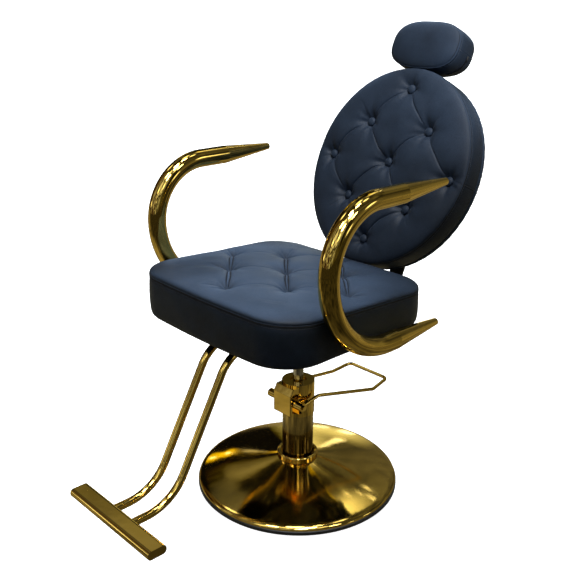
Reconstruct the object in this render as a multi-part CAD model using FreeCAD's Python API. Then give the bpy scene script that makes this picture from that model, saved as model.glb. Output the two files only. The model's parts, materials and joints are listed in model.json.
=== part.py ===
import FreeCAD, Part
import math
import os

# Threading chair: a padded seat and a round tufted back on a hydraulic pump with a round base.
# Origin: centre of the base, on the floor. +Z up, the chair faces -Y, +X is the sitter's left.
# All lengths in millimetres, all angles in degrees.

# Base
base_radius = 260.0
edge_ring_height = 11.0
edge_ring_width = 24.0
edge_ring_round = 1.5
ledge_width = 12.0
ledge_height = 3.0
disc_wall = 2.0
disc_rim_inset = 2.0
disc_rim_rise = 3.0
disc_edge_rise = 7.5
disc_edge_inset = 5.5
disc_shoulder_rise = 14.0
disc_shoulder_inset = 20.0
disc_slope_rise = 25.0
disc_slope_radius = 200.0
disc_waist_rise = 39.5
disc_waist_radius = 120.0
disc_neck_rise = 50.0
disc_neck_radius = 66.0
disc_crown_rise = 55.0
disc_hole_gap = 6.0
weight_plate_height = 10.0
weight_plate_gap = 0.4
collar_radius = 53.0
collar_height = 15.0
collar_rim = 5.0
collar_dish = 6.0
seat_fit = 0.3

# Pump body
column_radius = 40.0
column_wall = 4.0
flange_radius = 75.0
flange_height = 8.0
flange_bolt_circle = 60.0
flange_bolt_count = 4
flange_bolt_radius = 5.0
flange_bolt_head_radius = 8.5
flange_bolt_head_height = 6.4
cylinder_radius = 33.0
cylinder_bore = 30.0
cylinder_floor = 6.0
running_fit = 0.05
pump_head_bottom = 195.0
pump_head_top = 283.0
pump_head_radius = 42.0
pump_block_half = 31.0
pump_block_front = 57.0
pump_block_bottom = 205.0
pump_block_shoulder = 261.0
pump_block_top = 278.0
pump_block_slope = 9.0
pump_edge_round = 2.5
side_pocket_depth = 17.0
side_pocket_radius = 13.0
side_notch_front = 10.0
side_notch_back = 18.0
gland_radius = 21.0
gland_recess = 9.0
gland_height = 5.0
gland_round = 1.5

# Pump lever and plunger
lever_axis_back = -40.0
lever_axis_rise = 238.0
lever_pin_radius = 7.0
cam_radius = 9.0
cam_arm = 13.0
cam_tip_radius = 5.0
cam_width = 16.0
cam_room = 1.2
cam_waist = 3.0
lever_press_angle = 24.0
plunger_radius = 4.5
plunger_length = 28.0
plunger_stroke = 9.0
clamp_radius = 11.0
clamp_inner = 34.0
clamp_outer = 60.0
clamp_socket_radius = 7.5
clamp_socket_length = 24.0
lever_rod_radius = 4.75
lever_half_width = 51.5
lever_kink_back = 22.0
lever_kink_rise = 248.0
lever_flare_half = 74.0
lever_flare_back = 208.0
lever_flare_rise = 210.0
lever_end_half = 67.0
lever_end_back = 272.0
lever_end_rise = 218.0
lever_bend = 20.0
lever_corner = 14.0
lever_screw_head = 6.5
lever_screw_height = 5.0
lever_screw_shank = 3.0
lever_screw_depth = 8.0

# Piston
rod_radius = 13.5
piston_bottom = 62.0
piston_height = 20.0
seal_height = 6.0
seal_depth = 5.0
rod_neck_radius = 10.0
rod_neck_length = 32.0
thrust_washer_radius = 20.0
thrust_washer_height = 3.0

# Seat structure
seat_bottom = 476.0
plate_thickness = 6.0
frame_plate_half = 95.0
frame_plate_front = 205.0
frame_plate_back = 90.0
frame_plate_corner = 18.0
hub_radius = 27.0
hub_drop = 36.0
bush_wall = 3.0
gusset_thickness = 6.0
gusset_reach = 30.0
gusset_angles = (45.0, 135.0, 225.0, 315.0)
frame_bolt_inset = 16.0
bolt_radius = 4.0
bolt_head_radius = 7.0
bolt_head_height = 4.5
bolt_grip = 10.0
bolt_fit = 0.1
board_thickness = 15.0
board_inset = 14.0

# Seat cushion
seat_half_width = 266.0
seat_front = 300.0
seat_rear = 187.0
seat_corner = 96.0
seat_welt_rise = 89.0
seat_tilt = 2.9
seat_front_bow = 6.5
seat_side_swell = 0.5
seat_roll = 5.0
seat_roll_top = 1.0
seat_roll_rise = 5.0
seat_crown = 24.5
seat_crown_reach = 205.0
seat_core_inset = 6.0
seat_core_height = 62.0
seat_tuft_half_width = 200.0
seat_tuft_half_depth = 183.0
seat_tuft_centre = -45.0
tuft_depth = 21.0
tuft_radius = 34.0
tuft_floor_radius = 11.0
channel_depth = 6.0
channel_half_width = 9.0

# Armrests
arm_radius = 22.5
arm_wall = 2.5
arm_gap = 3.0
arm_front = 205.5
arm_top = 813.0
arm_bottom = 482.0
arm_upper_bend = 140.0
arm_straight = 0.8
arm_taper = 152.0
arm_tip_radius = 8.5
arm_tip_round = 4.0
arm_tip_back = 163.0
arm_tip_shift = 4.0
arm_tip_wall = 6.0
arm_bracket_reach = 116.0
arm_bracket_front = 62.0
arm_bracket_back = 44.0
arm_bolt_spread = 53.0

# Footrest
foot_tube_radius = 9.5
foot_tube_wall = 1.5
foot_tube_half_spacing = 35.0
foot_upper_bend = 90.0
foot_upper_back = -250.0
foot_upper_rise = 446.0
foot_lower_back = -425.0
foot_lower_rise = 129.5
foot_lower_bend = 118.0
foot_tube_inner_end = 92.0
foot_socket_radius = 13.0
foot_socket_front = 198.0
foot_socket_back = 84.0
foot_web_thickness = 6.0
foot_web_front = 185.0
foot_web_back = 100.0
foot_screw_head = 6.0
foot_screw_height = 6.0
foot_bar_half_length = 154.0
foot_bar_depth = 47.0
foot_bar_height = 21.0
foot_bar_round = 9.5
foot_bar_back = 525.0
foot_bar_wall = 2.5
foot_cap_thickness = 3.0
foot_cap_plug = 12.0

# Back hinge
hinge_back = 205.0
hinge_rise = 466.0
hinge_pin_radius = 7.0
knuckle_radius = 12.5
bar_inner = 55.0
bar_width = 40.0
bar_thickness = 6.0
washer_thickness = 0.8
washer_gap = 0.1
cheek_thickness = 6.0
cheek_front = 95.0
cheek_nose = 15.0
cheek_flange = 40.0
bar_turn_rise = 487.0
bar_bend = 22.0
bar_reach = 244.0
bar_bolt_low_reach = 104.0
bar_bolt_high_reach = 214.0
pin_head_radius = 11.0
pin_head_height = 6.0
clamp_hub_radius = 12.0
clamp_hub_length = 18.0
clamp_arm_radius = 5.0
clamp_arm_reach = 62.0
clamp_arm_drop = 30.0
clamp_arm_bend = 15.5
clamp_knob_radius = 13.0

# Back cushion, measured in its own plane: across, up and out towards the sitter
back_tilt = 23.95
back_centre_back = 311.5
back_centre_rise = 791.4
back_half_width = 240.0
back_half_height = 254.0
back_crown = 25.0
back_pad_depth = 60.0
back_board_inset = 12.0
back_board_thickness = 15.0
back_cover_depth = 16.0
back_cover_round = 8.0
back_cover_draw = 2.0
back_core_inset = 10.0
back_core_height = 43.0
back_tuft_half_width = 190.0
back_tuft_half_height = 200.0
button_radius = 11.0
button_height = 7.0
button_edge = 2.5

# Headrest, in the plane of the back
head_gap = 4.0
head_half_width = 106.0
head_half_height = 60.0
head_power_share = 2.35
head_crown = 13.0
head_depth = 76.0
head_edge_round = 8.0
head_edge_draw = 1.1
head_core_inset = 8.0
head_core_height = 60.0
head_board_inset = 14.0
head_board_thickness = 12.0
head_axis_out = -89.0
post_half_width = 16.0
post_thickness = 5.0
post_reach = 196.0
post_gap = 0.25
sleeve_half_width = 24.0
sleeve_depth = 24.0
sleeve_reach = 146.0
sleeve_length = 74.0
sleeve_flange = 16.0
sleeve_flange_thickness = 4.0
post_knuckle_radius = 8.0
post_knuckle_half = 12.0
head_pin_radius = 4.0
head_pin_half = 19.0
head_bracket_thickness = 3.0
head_bracket_half_height = 34.0
head_bracket_half_width = 30.0
head_ear_gap = 0.6
head_ear_radius = 9.0
knob_reach = 108.0
knob_stem_radius = 4.0
knob_radius = 17.0
knob_length = 14.0
knob_lobes = 6
knob_lobe_radius = 4.0
knob_lobe_offset = 1.0

# One overrun serves every cut
overrun = 4.0

# Places that follow from the sizes above
arm_plane = seat_half_width + arm_gap + arm_radius
arm_bracket_inner = seat_half_width - arm_bracket_reach
bar_top = bar_reach - back_half_height
bar_bolt_low = bar_bolt_low_reach - back_half_height
bar_bolt_high = bar_bolt_high_reach - back_half_height
post_bottom = back_half_height - post_reach
sleeve_bottom = back_half_height - sleeve_reach
sleeve_top = sleeve_bottom + sleeve_length
knob_rise = back_half_height - knob_reach
head_centre_up = back_half_height + head_gap + head_half_height

V = FreeCAD.Vector
X_AXIS = V(1, 0, 0)
Y_AXIS = V(0, 1, 0)
Z_AXIS = V(0, 0, 1)
ORIGIN = V(0, 0, 0)


def save(name, *solids):
    shape = solids[0] if len(solids) == 1 else Part.makeCompound(list(solids))
    shape.exportStep("parts/" + name + ".step")


def cylinder_z(radius, low, high, x=0.0, y=0.0):
    return Part.makeCylinder(radius, high - low, V(x, y, low), Z_AXIS)


def cylinder_x(radius, low, high, y, z):
    return Part.makeCylinder(radius, high - low, V(low, y, z), X_AXIS)


def block(x_low, x_high, y_low, y_high, z_low, z_high):
    return Part.makeBox(x_high - x_low, y_high - y_low, z_high - z_low, V(x_low, y_low, z_low))


def mirror_x(shape):
    return shape.mirror(ORIGIN, X_AXIS)


def revolve(points):
    """Turns a closed outline of (radius, height) points about the Z axis."""
    corners = [V(radius, 0, height) for radius, height in points]
    wire = Part.makePolygon(corners + corners[:1])
    return Part.Face(wire).revolve(ORIGIN, Z_AXIS, 360)


def path_wire(points, bends):
    """Straight runs between the points, joined by tangent arcs of the given radii."""
    edges = []
    start = points[0]
    for before, corner, after, bend in zip(points, points[1:], points[2:], bends):
        back = (before - corner).normalize()
        ahead = (after - corner).normalize()
        half = back.getAngle(ahead) / 2
        reach = bend / math.tan(half)
        middle = (back + ahead).normalize() * (bend / math.sin(half) - bend)
        enter = corner + back * reach
        leave = corner + ahead * reach
        edges.append(Part.LineSegment(start, enter).toShape())
        edges.append(Part.Arc(enter, corner + middle, leave).toShape())
        start = leave
    edges.append(Part.LineSegment(start, points[-1]).toShape())
    return Part.Wire(edges)


def rod(points, bends, radius):
    """A round rod bent along a path."""
    wire = path_wire(points, bends)
    circle = Part.Circle(points[0], points[1] - points[0], radius).toShape()
    return wire.makePipeShell([Part.Wire([circle])], True, False)


def strip(points, bends, low_x, high_x, thickness):
    """A flat bar bent in the YZ plane, its width along X."""
    wire = path_wire(points, bends)
    along = (points[1] - points[0]).normalize()
    side = V(0, -along.z, along.y) * (thickness / 2)
    left = V(low_x - points[0].x, 0, 0)
    right = V(high_x - points[0].x, 0, 0)
    start = points[0]
    corners = [start + left - side, start + right - side, start + right + side, start + left + side]
    outline = Part.makePolygon(corners + corners[:1])
    return wire.makePipeShell([outline], True, False)


def rounded(half_x, low_y, high_y, corner, z):
    """Outline with four round corners, at height z."""
    high_x = half_x
    low_x = -half_x
    diagonal = corner * math.sqrt(0.5)
    centres = ((high_x - corner, high_y - corner, 1, 1), (low_x + corner, high_y - corner, -1, 1),
               (low_x + corner, low_y + corner, -1, -1), (high_x - corner, low_y + corner, 1, -1))
    arcs = []
    for index, (x, y, side_x, side_y) in enumerate(centres):
        across = V(x + side_x * corner, y, z)
        along = V(x, y + side_y * corner, z)
        middle = V(x + side_x * diagonal, y + side_y * diagonal, z)
        first, last = (across, along) if index % 2 == 0 else (along, across)
        arcs.append((first, middle, last))
    edges = []
    for index, (first, middle, last) in enumerate(arcs):
        edges.append(Part.Arc(first, middle, last).toShape())
        edges.append(Part.LineSegment(last, arcs[(index + 1) % 4][0]).toShape())
    return Part.Wire(edges)


def oval(half_x, half_y, z, power=2.0, y=0.0):
    """Closed oval of eight arcs, at height z; a higher power gives squarer ends."""
    points = []
    for step in range(16):
        angle = math.pi * step / 8
        cosine = math.cos(angle)
        sine = math.sin(angle)
        across = math.copysign(abs(cosine) ** (2 / power), cosine)
        along = math.copysign(abs(sine) ** (2 / power), sine)
        points.append(V(half_x * across, y + half_y * along, z))
    points.append(points[0])
    arcs = [Part.Arc(*points[step:step + 3]).toShape() for step in range(0, 16, 2)]
    return Part.Wire(arcs)


def loft(wires):
    return Part.makeLoft(wires, True, False)


def in_back_plane(shape):
    """Moves a shape drawn flat (across, up, out) to the tilted plane of the back."""
    placed = shape.copy()
    placed.rotate(ORIGIN, X_AXIS, 90 - back_tilt)
    placed.translate(V(0, back_centre_back, back_centre_rise))
    return placed


def back_point(up, out):
    """Place in the YZ plane of a point drawn in the plane of the back."""
    sine = math.sin(math.radians(back_tilt))
    cosine = math.cos(math.radians(back_tilt))
    return V(0, back_centre_back + up * sine - out * cosine, back_centre_rise + up * cosine + out * sine)


def hex_head(radius, height, base, axis):
    """Six-sided head of a screw, standing on its base along an axis."""
    corners = []
    for step in range(6):
        angle = math.pi * step / 3
        corners.append(V(radius * math.cos(angle), radius * math.sin(angle), 0))
    prism = Part.Face(Part.makePolygon(corners + corners[:1])).extrude(V(0, 0, height))
    prism.Placement = FreeCAD.Placement(base, FreeCAD.Rotation(Z_AXIS, axis))
    return prism


def bolt(base, axis, head_radius, head_height, shank_radius, length):
    """A bolt whose head stands on base along axis, with its shank going the other way."""
    shank = Part.makeCylinder(shank_radius, length, base, -axis)
    return hex_head(head_radius, head_height, base, axis).fuse(shank)


def tuft_places(centre, half_width, half_height):
    """Nine places in a grid that stands on its corner."""
    shares = ((0, 0), (1, 0), (-1, 0), (0, 1), (0, -1), (0.5, 0.5), (-0.5, 0.5), (0.5, -0.5), (-0.5, -0.5))
    return [(across * half_width, centre + up * half_height) for across, up in shares]


def tuft_lines(centre, half_width, half_height):
    """The six sewn lines of the grid, each from edge to edge of the diamond."""
    ends_share = (((0, 1), (1, 0)), ((-0.5, 0.5), (0.5, -0.5)), ((-1, 0), (0, -1)),
                  ((0, 1), (-1, 0)), ((0.5, 0.5), (-0.5, -0.5)), ((1, 0), (0, -1)))
    lines = []
    for first, last in ends_share:
        start = V(first[0] * half_width, centre + first[1] * half_height, 0)
        end = V(last[0] * half_width, centre + last[1] * half_height, 0)
        lines.append((start, end))
    return lines


def tuft_cuts(centre, half_width, half_height, crown):
    """Dimples at the tufts and sewn channels between them, under a crown's height."""
    floor = crown - tuft_depth
    rise = tuft_depth + overrun
    mouth = tuft_floor_radius + (tuft_radius - tuft_floor_radius) * rise / tuft_depth
    cuts = []
    for x, y in tuft_places(centre, half_width, half_height):
        cuts.append(Part.makeCone(tuft_floor_radius, mouth, rise, V(x, y, floor)))
    spread = channel_half_width * (channel_depth + overrun) / channel_depth
    for start, end in tuft_lines(centre, half_width, half_height):
        along = (end - start).normalize()
        side = V(-along.y, along.x, 0) * spread
        low = V(0, 0, crown - channel_depth)
        high = V(0, 0, crown + overrun)
        corners = [start + low, start + high + side, start + high - side]
        outline = Part.makePolygon(corners + corners[:1])
        cuts.append(Part.Face(outline).extrude(end - start))
    return cuts


def build_base():
    """Rubber edge, spun disc, weight plate and the column's collar; gives the plate's upper face."""
    ring_inner = base_radius - edge_ring_width
    step_radius = base_radius - ledge_width
    ring = revolve([(ring_inner, 0), (base_radius - edge_ring_round, 0), (base_radius, edge_ring_round),
                    (base_radius, edge_ring_height - edge_ring_round),
                    (base_radius - edge_ring_round, edge_ring_height), (step_radius, edge_ring_height),
                    (step_radius, ledge_height), (ring_inner, ledge_height)])
    save("base_edge_ring", ring)
    floor = ledge_height + weight_plate_height
    plate = cylinder_z(step_radius - weight_plate_gap, ledge_height, floor)
    for x, y in flange_bolt_places():
        plate = plate.cut(cylinder_z(flange_bolt_radius + bolt_fit, 0, floor + overrun, x, y))
    save("base_weight_plate", plate)
    rim_radius = base_radius - disc_rim_inset
    bottom = edge_ring_height
    hole_radius = column_radius + disc_hole_gap
    outer = [V(rim_radius, 0, bottom), V(rim_radius, 0, bottom + disc_rim_rise),
             V(base_radius - disc_edge_inset, 0, bottom + disc_edge_rise),
             V(base_radius - disc_shoulder_inset, 0, bottom + disc_shoulder_rise),
             V(disc_slope_radius, 0, bottom + disc_slope_rise),
             V(disc_waist_radius, 0, bottom + disc_waist_rise),
             V(disc_neck_radius, 0, bottom + disc_neck_rise),
             V(hole_radius, 0, bottom + disc_crown_rise)]
    inner = [V(point.x, 0, point.z - disc_wall) for point in outer[2:]]
    inner = [V(rim_radius - disc_wall, 0, bottom), V(rim_radius - disc_wall, 0, outer[1].z)] + inner
    skins = []
    for line in (outer, inner):
        curve = Part.BSplineCurve()
        curve.interpolate(line)
        skins.append(curve.toShape())
    foot = Part.LineSegment(inner[0], outer[0]).toShape()
    mouth = Part.LineSegment(outer[-1], inner[-1]).toShape()
    disc = Part.Face(Part.Wire(Part.__sortEdges__(skins + [foot, mouth]))).revolve(ORIGIN, Z_AXIS, 360)
    save("base_disc", disc)
    collar_low = bottom + disc_crown_rise
    collar_top = collar_low + collar_height
    middle = collar_radius - collar_rim
    rim_low = collar_low + collar_height - collar_rim
    arc = Part.Arc(V(collar_radius, 0, rim_low), V(middle, 0, collar_top), V(middle - collar_rim, 0, rim_low))
    inner_radius = column_radius + seat_fit
    dish = collar_top - collar_rim - collar_dish
    corners = [V(middle - collar_rim, 0, rim_low), V(middle - collar_rim, 0, dish), V(inner_radius, 0, dish),
               V(inner_radius, 0, collar_low), V(collar_radius, 0, collar_low), V(collar_radius, 0, rim_low)]
    sides = Part.makePolygon(corners)
    collar = Part.Face(Part.Wire([arc.toShape()] + sides.Edges)).revolve(ORIGIN, Z_AXIS, 360)
    save("base_collar", collar)
    return floor


def flange_bolt_places():
    places = []
    for index in range(flange_bolt_count):
        angle = math.pi / flange_bolt_count + 2 * math.pi * index / flange_bolt_count
        places.append((flange_bolt_circle * math.cos(angle), flange_bolt_circle * math.sin(angle)))
    return places


def build_pump(floor):
    """Column on its bolted flange, the oil cylinder inside it and the cast head on top."""
    flange_top = floor + flange_height
    flange = cylinder_z(flange_radius, floor, flange_top).cut(cylinder_z(column_radius, floor, flange_top))
    bolts = []
    for x, y in flange_bolt_places():
        flange = flange.cut(cylinder_z(flange_bolt_radius + bolt_fit, floor, flange_top, x, y))
        bolts.append(bolt(V(x, y, flange_top), Z_AXIS, flange_bolt_head_radius, flange_bolt_head_height,
                          flange_bolt_radius, flange_top - ledge_height))
    save("pump_flange", flange)
    save("flange_bolts", *bolts)
    column_bore = column_radius - column_wall
    column = cylinder_z(column_radius, floor, pump_head_bottom)
    column = column.cut(cylinder_z(column_bore, floor, pump_head_bottom))
    save("pump_column", column)
    cylinder = cylinder_z(cylinder_radius, floor, pump_head_bottom)
    cylinder = cylinder.cut(cylinder_z(cylinder_bore, floor + cylinder_floor, pump_head_bottom))
    save("pump_cylinder", cylinder)
    save("pump_head", pump_head())
    gland_low = pump_head_top - gland_recess
    gland_top = gland_low + gland_height
    gland = revolve([(rod_radius + running_fit, gland_low), (gland_radius, gland_low),
                     (gland_radius, gland_top - gland_round), (gland_radius - gland_round, gland_top),
                     (rod_radius + running_fit, gland_top)])
    save("pump_gland", gland)


def pump_head():
    """Cast head: round behind, squared and chamfered in front, with the cam's room inside."""
    head = cylinder_z(pump_head_radius, pump_head_bottom, pump_head_top)
    slope_start = pump_block_front - pump_block_slope
    outline = [V(-pump_block_half, 0, pump_block_bottom), V(-pump_block_half, -pump_block_front, pump_block_bottom),
               V(-pump_block_half, -pump_block_front, pump_block_shoulder),
               V(-pump_block_half, -slope_start, pump_block_top), V(-pump_block_half, 0, pump_block_top)]
    nose = Part.Face(Part.makePolygon(outline + outline[:1])).extrude(V(2 * pump_block_half, 0, 0))
    front_edges = []
    for edge in nose.Edges:
        middle = edge.CenterOfMass
        if middle.y < -slope_start and edge.Length > pump_edge_round:
            front_edges.append(edge)
    nose = nose.makeFillet(pump_edge_round, front_edges)
    head = head.fuse(nose).removeSplitter()
    head = head.cut(cylinder_z(rod_radius + running_fit, pump_head_bottom, pump_head_top))
    head = head.cut(cylinder_z(gland_radius, pump_head_top - gland_recess, pump_head_top))
    for side in (1, -1):
        outer = pump_head_radius + overrun
        inner = pump_block_half - side_pocket_depth
        pocket = cylinder_x(side_pocket_radius, inner, outer, lever_axis_back, lever_axis_rise)
        notch = block(inner, outer, lever_axis_back - side_notch_front, lever_axis_back + side_notch_back,
                      pump_block_bottom, lever_axis_rise)
        pocket = pocket.fuse(notch)
        head = head.cut(pocket if side > 0 else mirror_x(pocket))
    bore = cylinder_x(lever_pin_radius + running_fit, -pump_head_radius, pump_head_radius,
                      lever_axis_back, lever_axis_rise)
    head = head.cut(bore)
    half_room = cam_width / 2 + cam_room
    room_front = lever_axis_back - cam_radius - cam_room
    room_back = lever_axis_back + cam_arm + cam_tip_radius + cam_room
    drop = cam_arm * math.sin(math.radians(lever_press_angle)) + cam_tip_radius
    room_low = lever_axis_rise - max(drop, cam_radius) - cam_room
    room_high = lever_axis_rise + cam_radius + cam_room
    room = block(-half_room, half_room, room_front, room_back, room_low, room_high)
    head = head.cut(room)
    plunger_bore = cylinder_z(plunger_radius + running_fit, plunger_bottom() - plunger_stroke,
                              lever_axis_rise, 0, lever_axis_back + cam_arm)
    return head.cut(plunger_bore)


def plunger_top():
    return lever_axis_rise - cam_tip_radius - seat_fit


def plunger_bottom():
    return plunger_top() - plunger_length


def build_lever():
    """Foot lever: a bent rod clamped to a cross pin, whose cam presses the pump's plunger."""
    axis_back = lever_axis_back
    axis_rise = lever_axis_rise
    pin = cylinder_x(lever_pin_radius, -clamp_outer, clamp_outer, axis_back, axis_rise)
    for side in (1, -1):
        hole = cylinder_x(lever_screw_shank, clamp_outer - lever_screw_depth, clamp_outer, axis_back, axis_rise)
        pin = pin.cut(hole if side > 0 else mirror_x(hole))
    save("lever_pin", pin)
    half = cam_width / 2
    cam = cylinder_x(cam_radius, -half, half, axis_back, axis_rise)
    finger = block(-half, half, axis_back, axis_back + cam_arm, axis_rise - cam_waist, axis_rise + cam_waist)
    tip = cylinder_x(cam_tip_radius, -half, half, axis_back + cam_arm, axis_rise)
    cam = cam.fuse([finger, tip]).removeSplitter()
    cam = cam.cut(cylinder_x(lever_pin_radius, -half, half, axis_back, axis_rise))
    save("lever_cam", cam)
    start = V(lever_half_width, axis_back, axis_rise)
    kink = V(lever_half_width, lever_kink_back, lever_kink_rise)
    along = (kink - start).normalize()
    rod_start = start + along * clamp_radius
    flare = V(lever_flare_half, lever_flare_back, lever_flare_rise)
    end = V(lever_end_half, lever_end_back, lever_end_rise)
    side_points = [rod_start, kink, flare, end]
    points = side_points + [V(-point.x, point.y, point.z) for point in reversed(side_points)]
    bends = [lever_bend, lever_corner, lever_corner, lever_corner, lever_corner, lever_bend]
    loop = rod(points, bends, lever_rod_radius)
    save("lever_loop", loop)
    clamps = []
    screws = []
    for side in (1, -1):
        hub = cylinder_x(clamp_radius, clamp_inner, clamp_outer, axis_back, axis_rise)
        socket = Part.makeCylinder(clamp_socket_radius, clamp_socket_length, start, along)
        clamp = hub.fuse(socket)
        clamp = clamp.cut(cylinder_x(lever_pin_radius, clamp_inner, clamp_outer, axis_back, axis_rise))
        bore = Part.makeCylinder(lever_rod_radius, clamp_socket_length, rod_start, along)
        clamp = clamp.cut(bore)
        screw = bolt(V(clamp_outer, axis_back, axis_rise), X_AXIS, lever_screw_head, lever_screw_height,
                     lever_screw_shank, lever_screw_depth)
        clamps.append(clamp if side > 0 else mirror_x(clamp))
        screws.append(screw if side > 0 else mirror_x(screw))
    save("lever_clamps", *clamps)
    save("lever_screws", *screws)
    plunger = cylinder_z(plunger_radius, plunger_bottom(), plunger_top(), 0, axis_back + cam_arm)
    save("pump_plunger", plunger)


def build_piston():
    """Piston with its seal in the oil cylinder, and the bright rod that lifts the seat."""
    top = piston_bottom + piston_height
    middle = (piston_bottom + top) / 2
    outer = cylinder_bore - running_fit
    piston = revolve([(0, piston_bottom), (outer, piston_bottom), (outer, middle - seal_height / 2),
                      (outer - seal_depth, middle - seal_height / 2),
                      (outer - seal_depth, middle + seal_height / 2),
                      (outer, middle + seal_height / 2), (outer, top), (0, top)])
    save("piston_head", piston)
    seal = revolve([(outer - seal_depth, middle - seal_height / 2), (outer, middle - seal_height / 2),
                    (outer, middle + seal_height / 2), (outer - seal_depth, middle + seal_height / 2)])
    save("piston_seal", seal)
    shoulder = hub_bottom() - thrust_washer_height
    shaft = cylinder_z(rod_radius, top, shoulder)
    neck = cylinder_z(rod_neck_radius, shoulder, hub_bottom() + rod_neck_length)
    save("piston_rod", shaft.fuse(neck))
    washer = cylinder_z(thrust_washer_radius, shoulder, hub_bottom())
    save("thrust_washer", washer.cut(cylinder_z(rod_neck_radius, shoulder, hub_bottom())))


def hub_bottom():
    return seat_bottom - plate_thickness - hub_drop


def frame_bolt_places():
    x = frame_plate_half - frame_bolt_inset
    front = -frame_plate_front + frame_bolt_inset
    back = frame_plate_back - frame_bolt_inset
    return [(x, front), (-x, front), (x, back), (-x, back)]


def build_seat_frame():
    """Steel plate under the seat board, with the swivel hub and the footrest's sockets."""
    low = seat_bottom - plate_thickness
    outline = rounded(frame_plate_half, -frame_plate_front, frame_plate_back, frame_plate_corner, low)
    plate = Part.Face(outline).extrude(V(0, 0, plate_thickness))
    bolts = []
    for x, y in frame_bolt_places():
        plate = plate.cut(cylinder_z(bolt_radius + bolt_fit, low, seat_bottom, x, y))
        bolts.append(bolt(V(x, y, low), -Z_AXIS, bolt_head_radius, bolt_head_height, bolt_radius,
                          plate_thickness + bolt_grip))
    save("frame_plate", plate)
    save("frame_bolts", *bolts)
    bush_outer = rod_neck_radius + bush_wall
    hub = cylinder_z(hub_radius, hub_bottom(), low)
    for angle in gusset_angles:
        reach = hub_radius + gusset_reach
        corners = [V(0, -gusset_thickness / 2, low), V(reach, -gusset_thickness / 2, low),
                   V(hub_radius, -gusset_thickness / 2, hub_bottom() + gusset_thickness),
                   V(0, -gusset_thickness / 2, hub_bottom() + gusset_thickness)]
        gusset = Part.Face(Part.makePolygon(corners + corners[:1])).extrude(V(0, gusset_thickness, 0))
        gusset.rotate(ORIGIN, Z_AXIS, angle)
        hub = hub.fuse(gusset)
    hub = hub.removeSplitter().cut(cylinder_z(bush_outer, hub_bottom(), low))
    save("swivel_hub", hub)
    bush = cylinder_z(bush_outer, hub_bottom(), low)
    save("swivel_bush", bush.cut(cylinder_z(rod_neck_radius + running_fit, hub_bottom(), low)))


def build_footrest():
    """Two bent tubes pushed into sockets under the seat, carrying the foot bar."""
    low = seat_bottom - plate_thickness
    centre = foot_upper_rise
    sockets = []
    screws = []
    for side, name in ((1, "footrest_tube_left"), (-1, "footrest_tube_right")):
        x = side * foot_tube_half_spacing
        points = [V(x, -foot_tube_inner_end, centre), V(x, foot_upper_back, centre),
                  V(x, foot_lower_back, foot_lower_rise),
                  V(x, -foot_bar_back - foot_bar_round, foot_lower_rise)]
        tube = rod(points, [foot_upper_bend, foot_lower_bend], foot_tube_radius)
        tube = tube.cut(rod(points, [foot_upper_bend, foot_lower_bend], foot_tube_radius - foot_tube_wall))
        save(name, tube.cut(foot_bar_body(0)))
        length = foot_socket_front - foot_socket_back
        socket = Part.makeCylinder(foot_socket_radius, length, V(x, -foot_socket_front, centre), Y_AXIS)
        web = block(x - foot_web_thickness / 2, x + foot_web_thickness / 2, -foot_web_front, -foot_web_back,
                    centre, low)
        bore = Part.makeCylinder(foot_tube_radius, length, V(x, -foot_socket_front, centre), Y_AXIS)
        screw_y = -(foot_socket_front + foot_socket_back) / 2
        hole = cylinder_z(lever_screw_shank, centre - foot_socket_radius, centre, x, screw_y)
        sockets.append(socket.fuse(web).cut(bore).cut(hole))
        screws.append(bolt(V(x, screw_y, centre - foot_socket_radius), -Z_AXIS, foot_screw_head,
                           foot_screw_height, lever_screw_shank, foot_socket_radius - foot_tube_radius))
    save("footrest_sockets", *sockets)
    save("socket_screws", *screws)
    build_foot_bar()


def foot_bar_outline(inset):
    """Section of the foot bar, drawn in the YZ plane and drawn in by an inset."""
    half_depth = foot_bar_depth / 2 - inset
    half_height = foot_bar_height / 2 - inset
    outline = rounded(half_height, -half_depth, half_depth, foot_bar_round - inset, 0)
    outline.rotate(ORIGIN, Y_AXIS, 90)
    outline.translate(V(0, -foot_bar_back - foot_bar_depth / 2, foot_lower_rise))
    return outline


def foot_bar_body(inset):
    half = foot_bar_half_length - foot_cap_thickness
    body = Part.Face(foot_bar_outline(inset)).extrude(V(2 * half, 0, 0))
    body.translate(V(-half, 0, 0))
    return body


def build_foot_bar():
    half = foot_bar_half_length - foot_cap_thickness
    save("footrest_bar", foot_bar_body(0).cut(foot_bar_body(foot_bar_wall)))
    lid = Part.Face(foot_bar_outline(0)).extrude(V(foot_cap_thickness, 0, 0))
    lid.translate(V(half, 0, 0))
    plug = Part.Face(foot_bar_outline(foot_bar_wall)).extrude(V(foot_cap_plug, 0, 0))
    plug.translate(V(half - foot_cap_plug, 0, 0))
    cap = lid.fuse(plug)
    save("footrest_caps", cap, mirror_x(cap))


def seat_outline(inset, z, tilt_share=0.0):
    """Plan of the seat at one height, drawn in by an inset, with a bowed front, leaning back by a share."""
    plain = rounded(seat_half_width - inset, -seat_front + inset, seat_rear - inset,
                    seat_corner - inset / 2, z)
    edges = list(plain.Edges)
    front = min(edges, key=lambda edge: edge.CenterOfMass.y)
    middle = front.CenterOfMass - V(0, seat_front_bow, 0)
    bow = Part.Arc(front.Vertexes[0].Point, middle, front.Vertexes[1].Point).toShape()
    outline = Part.Wire([bow if edge is front else edge for edge in edges])
    pivot = V(0, (seat_rear - seat_front) / 2, z)
    outline.rotate(pivot, X_AXIS, -seat_tilt * tilt_share)
    return outline


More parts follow.
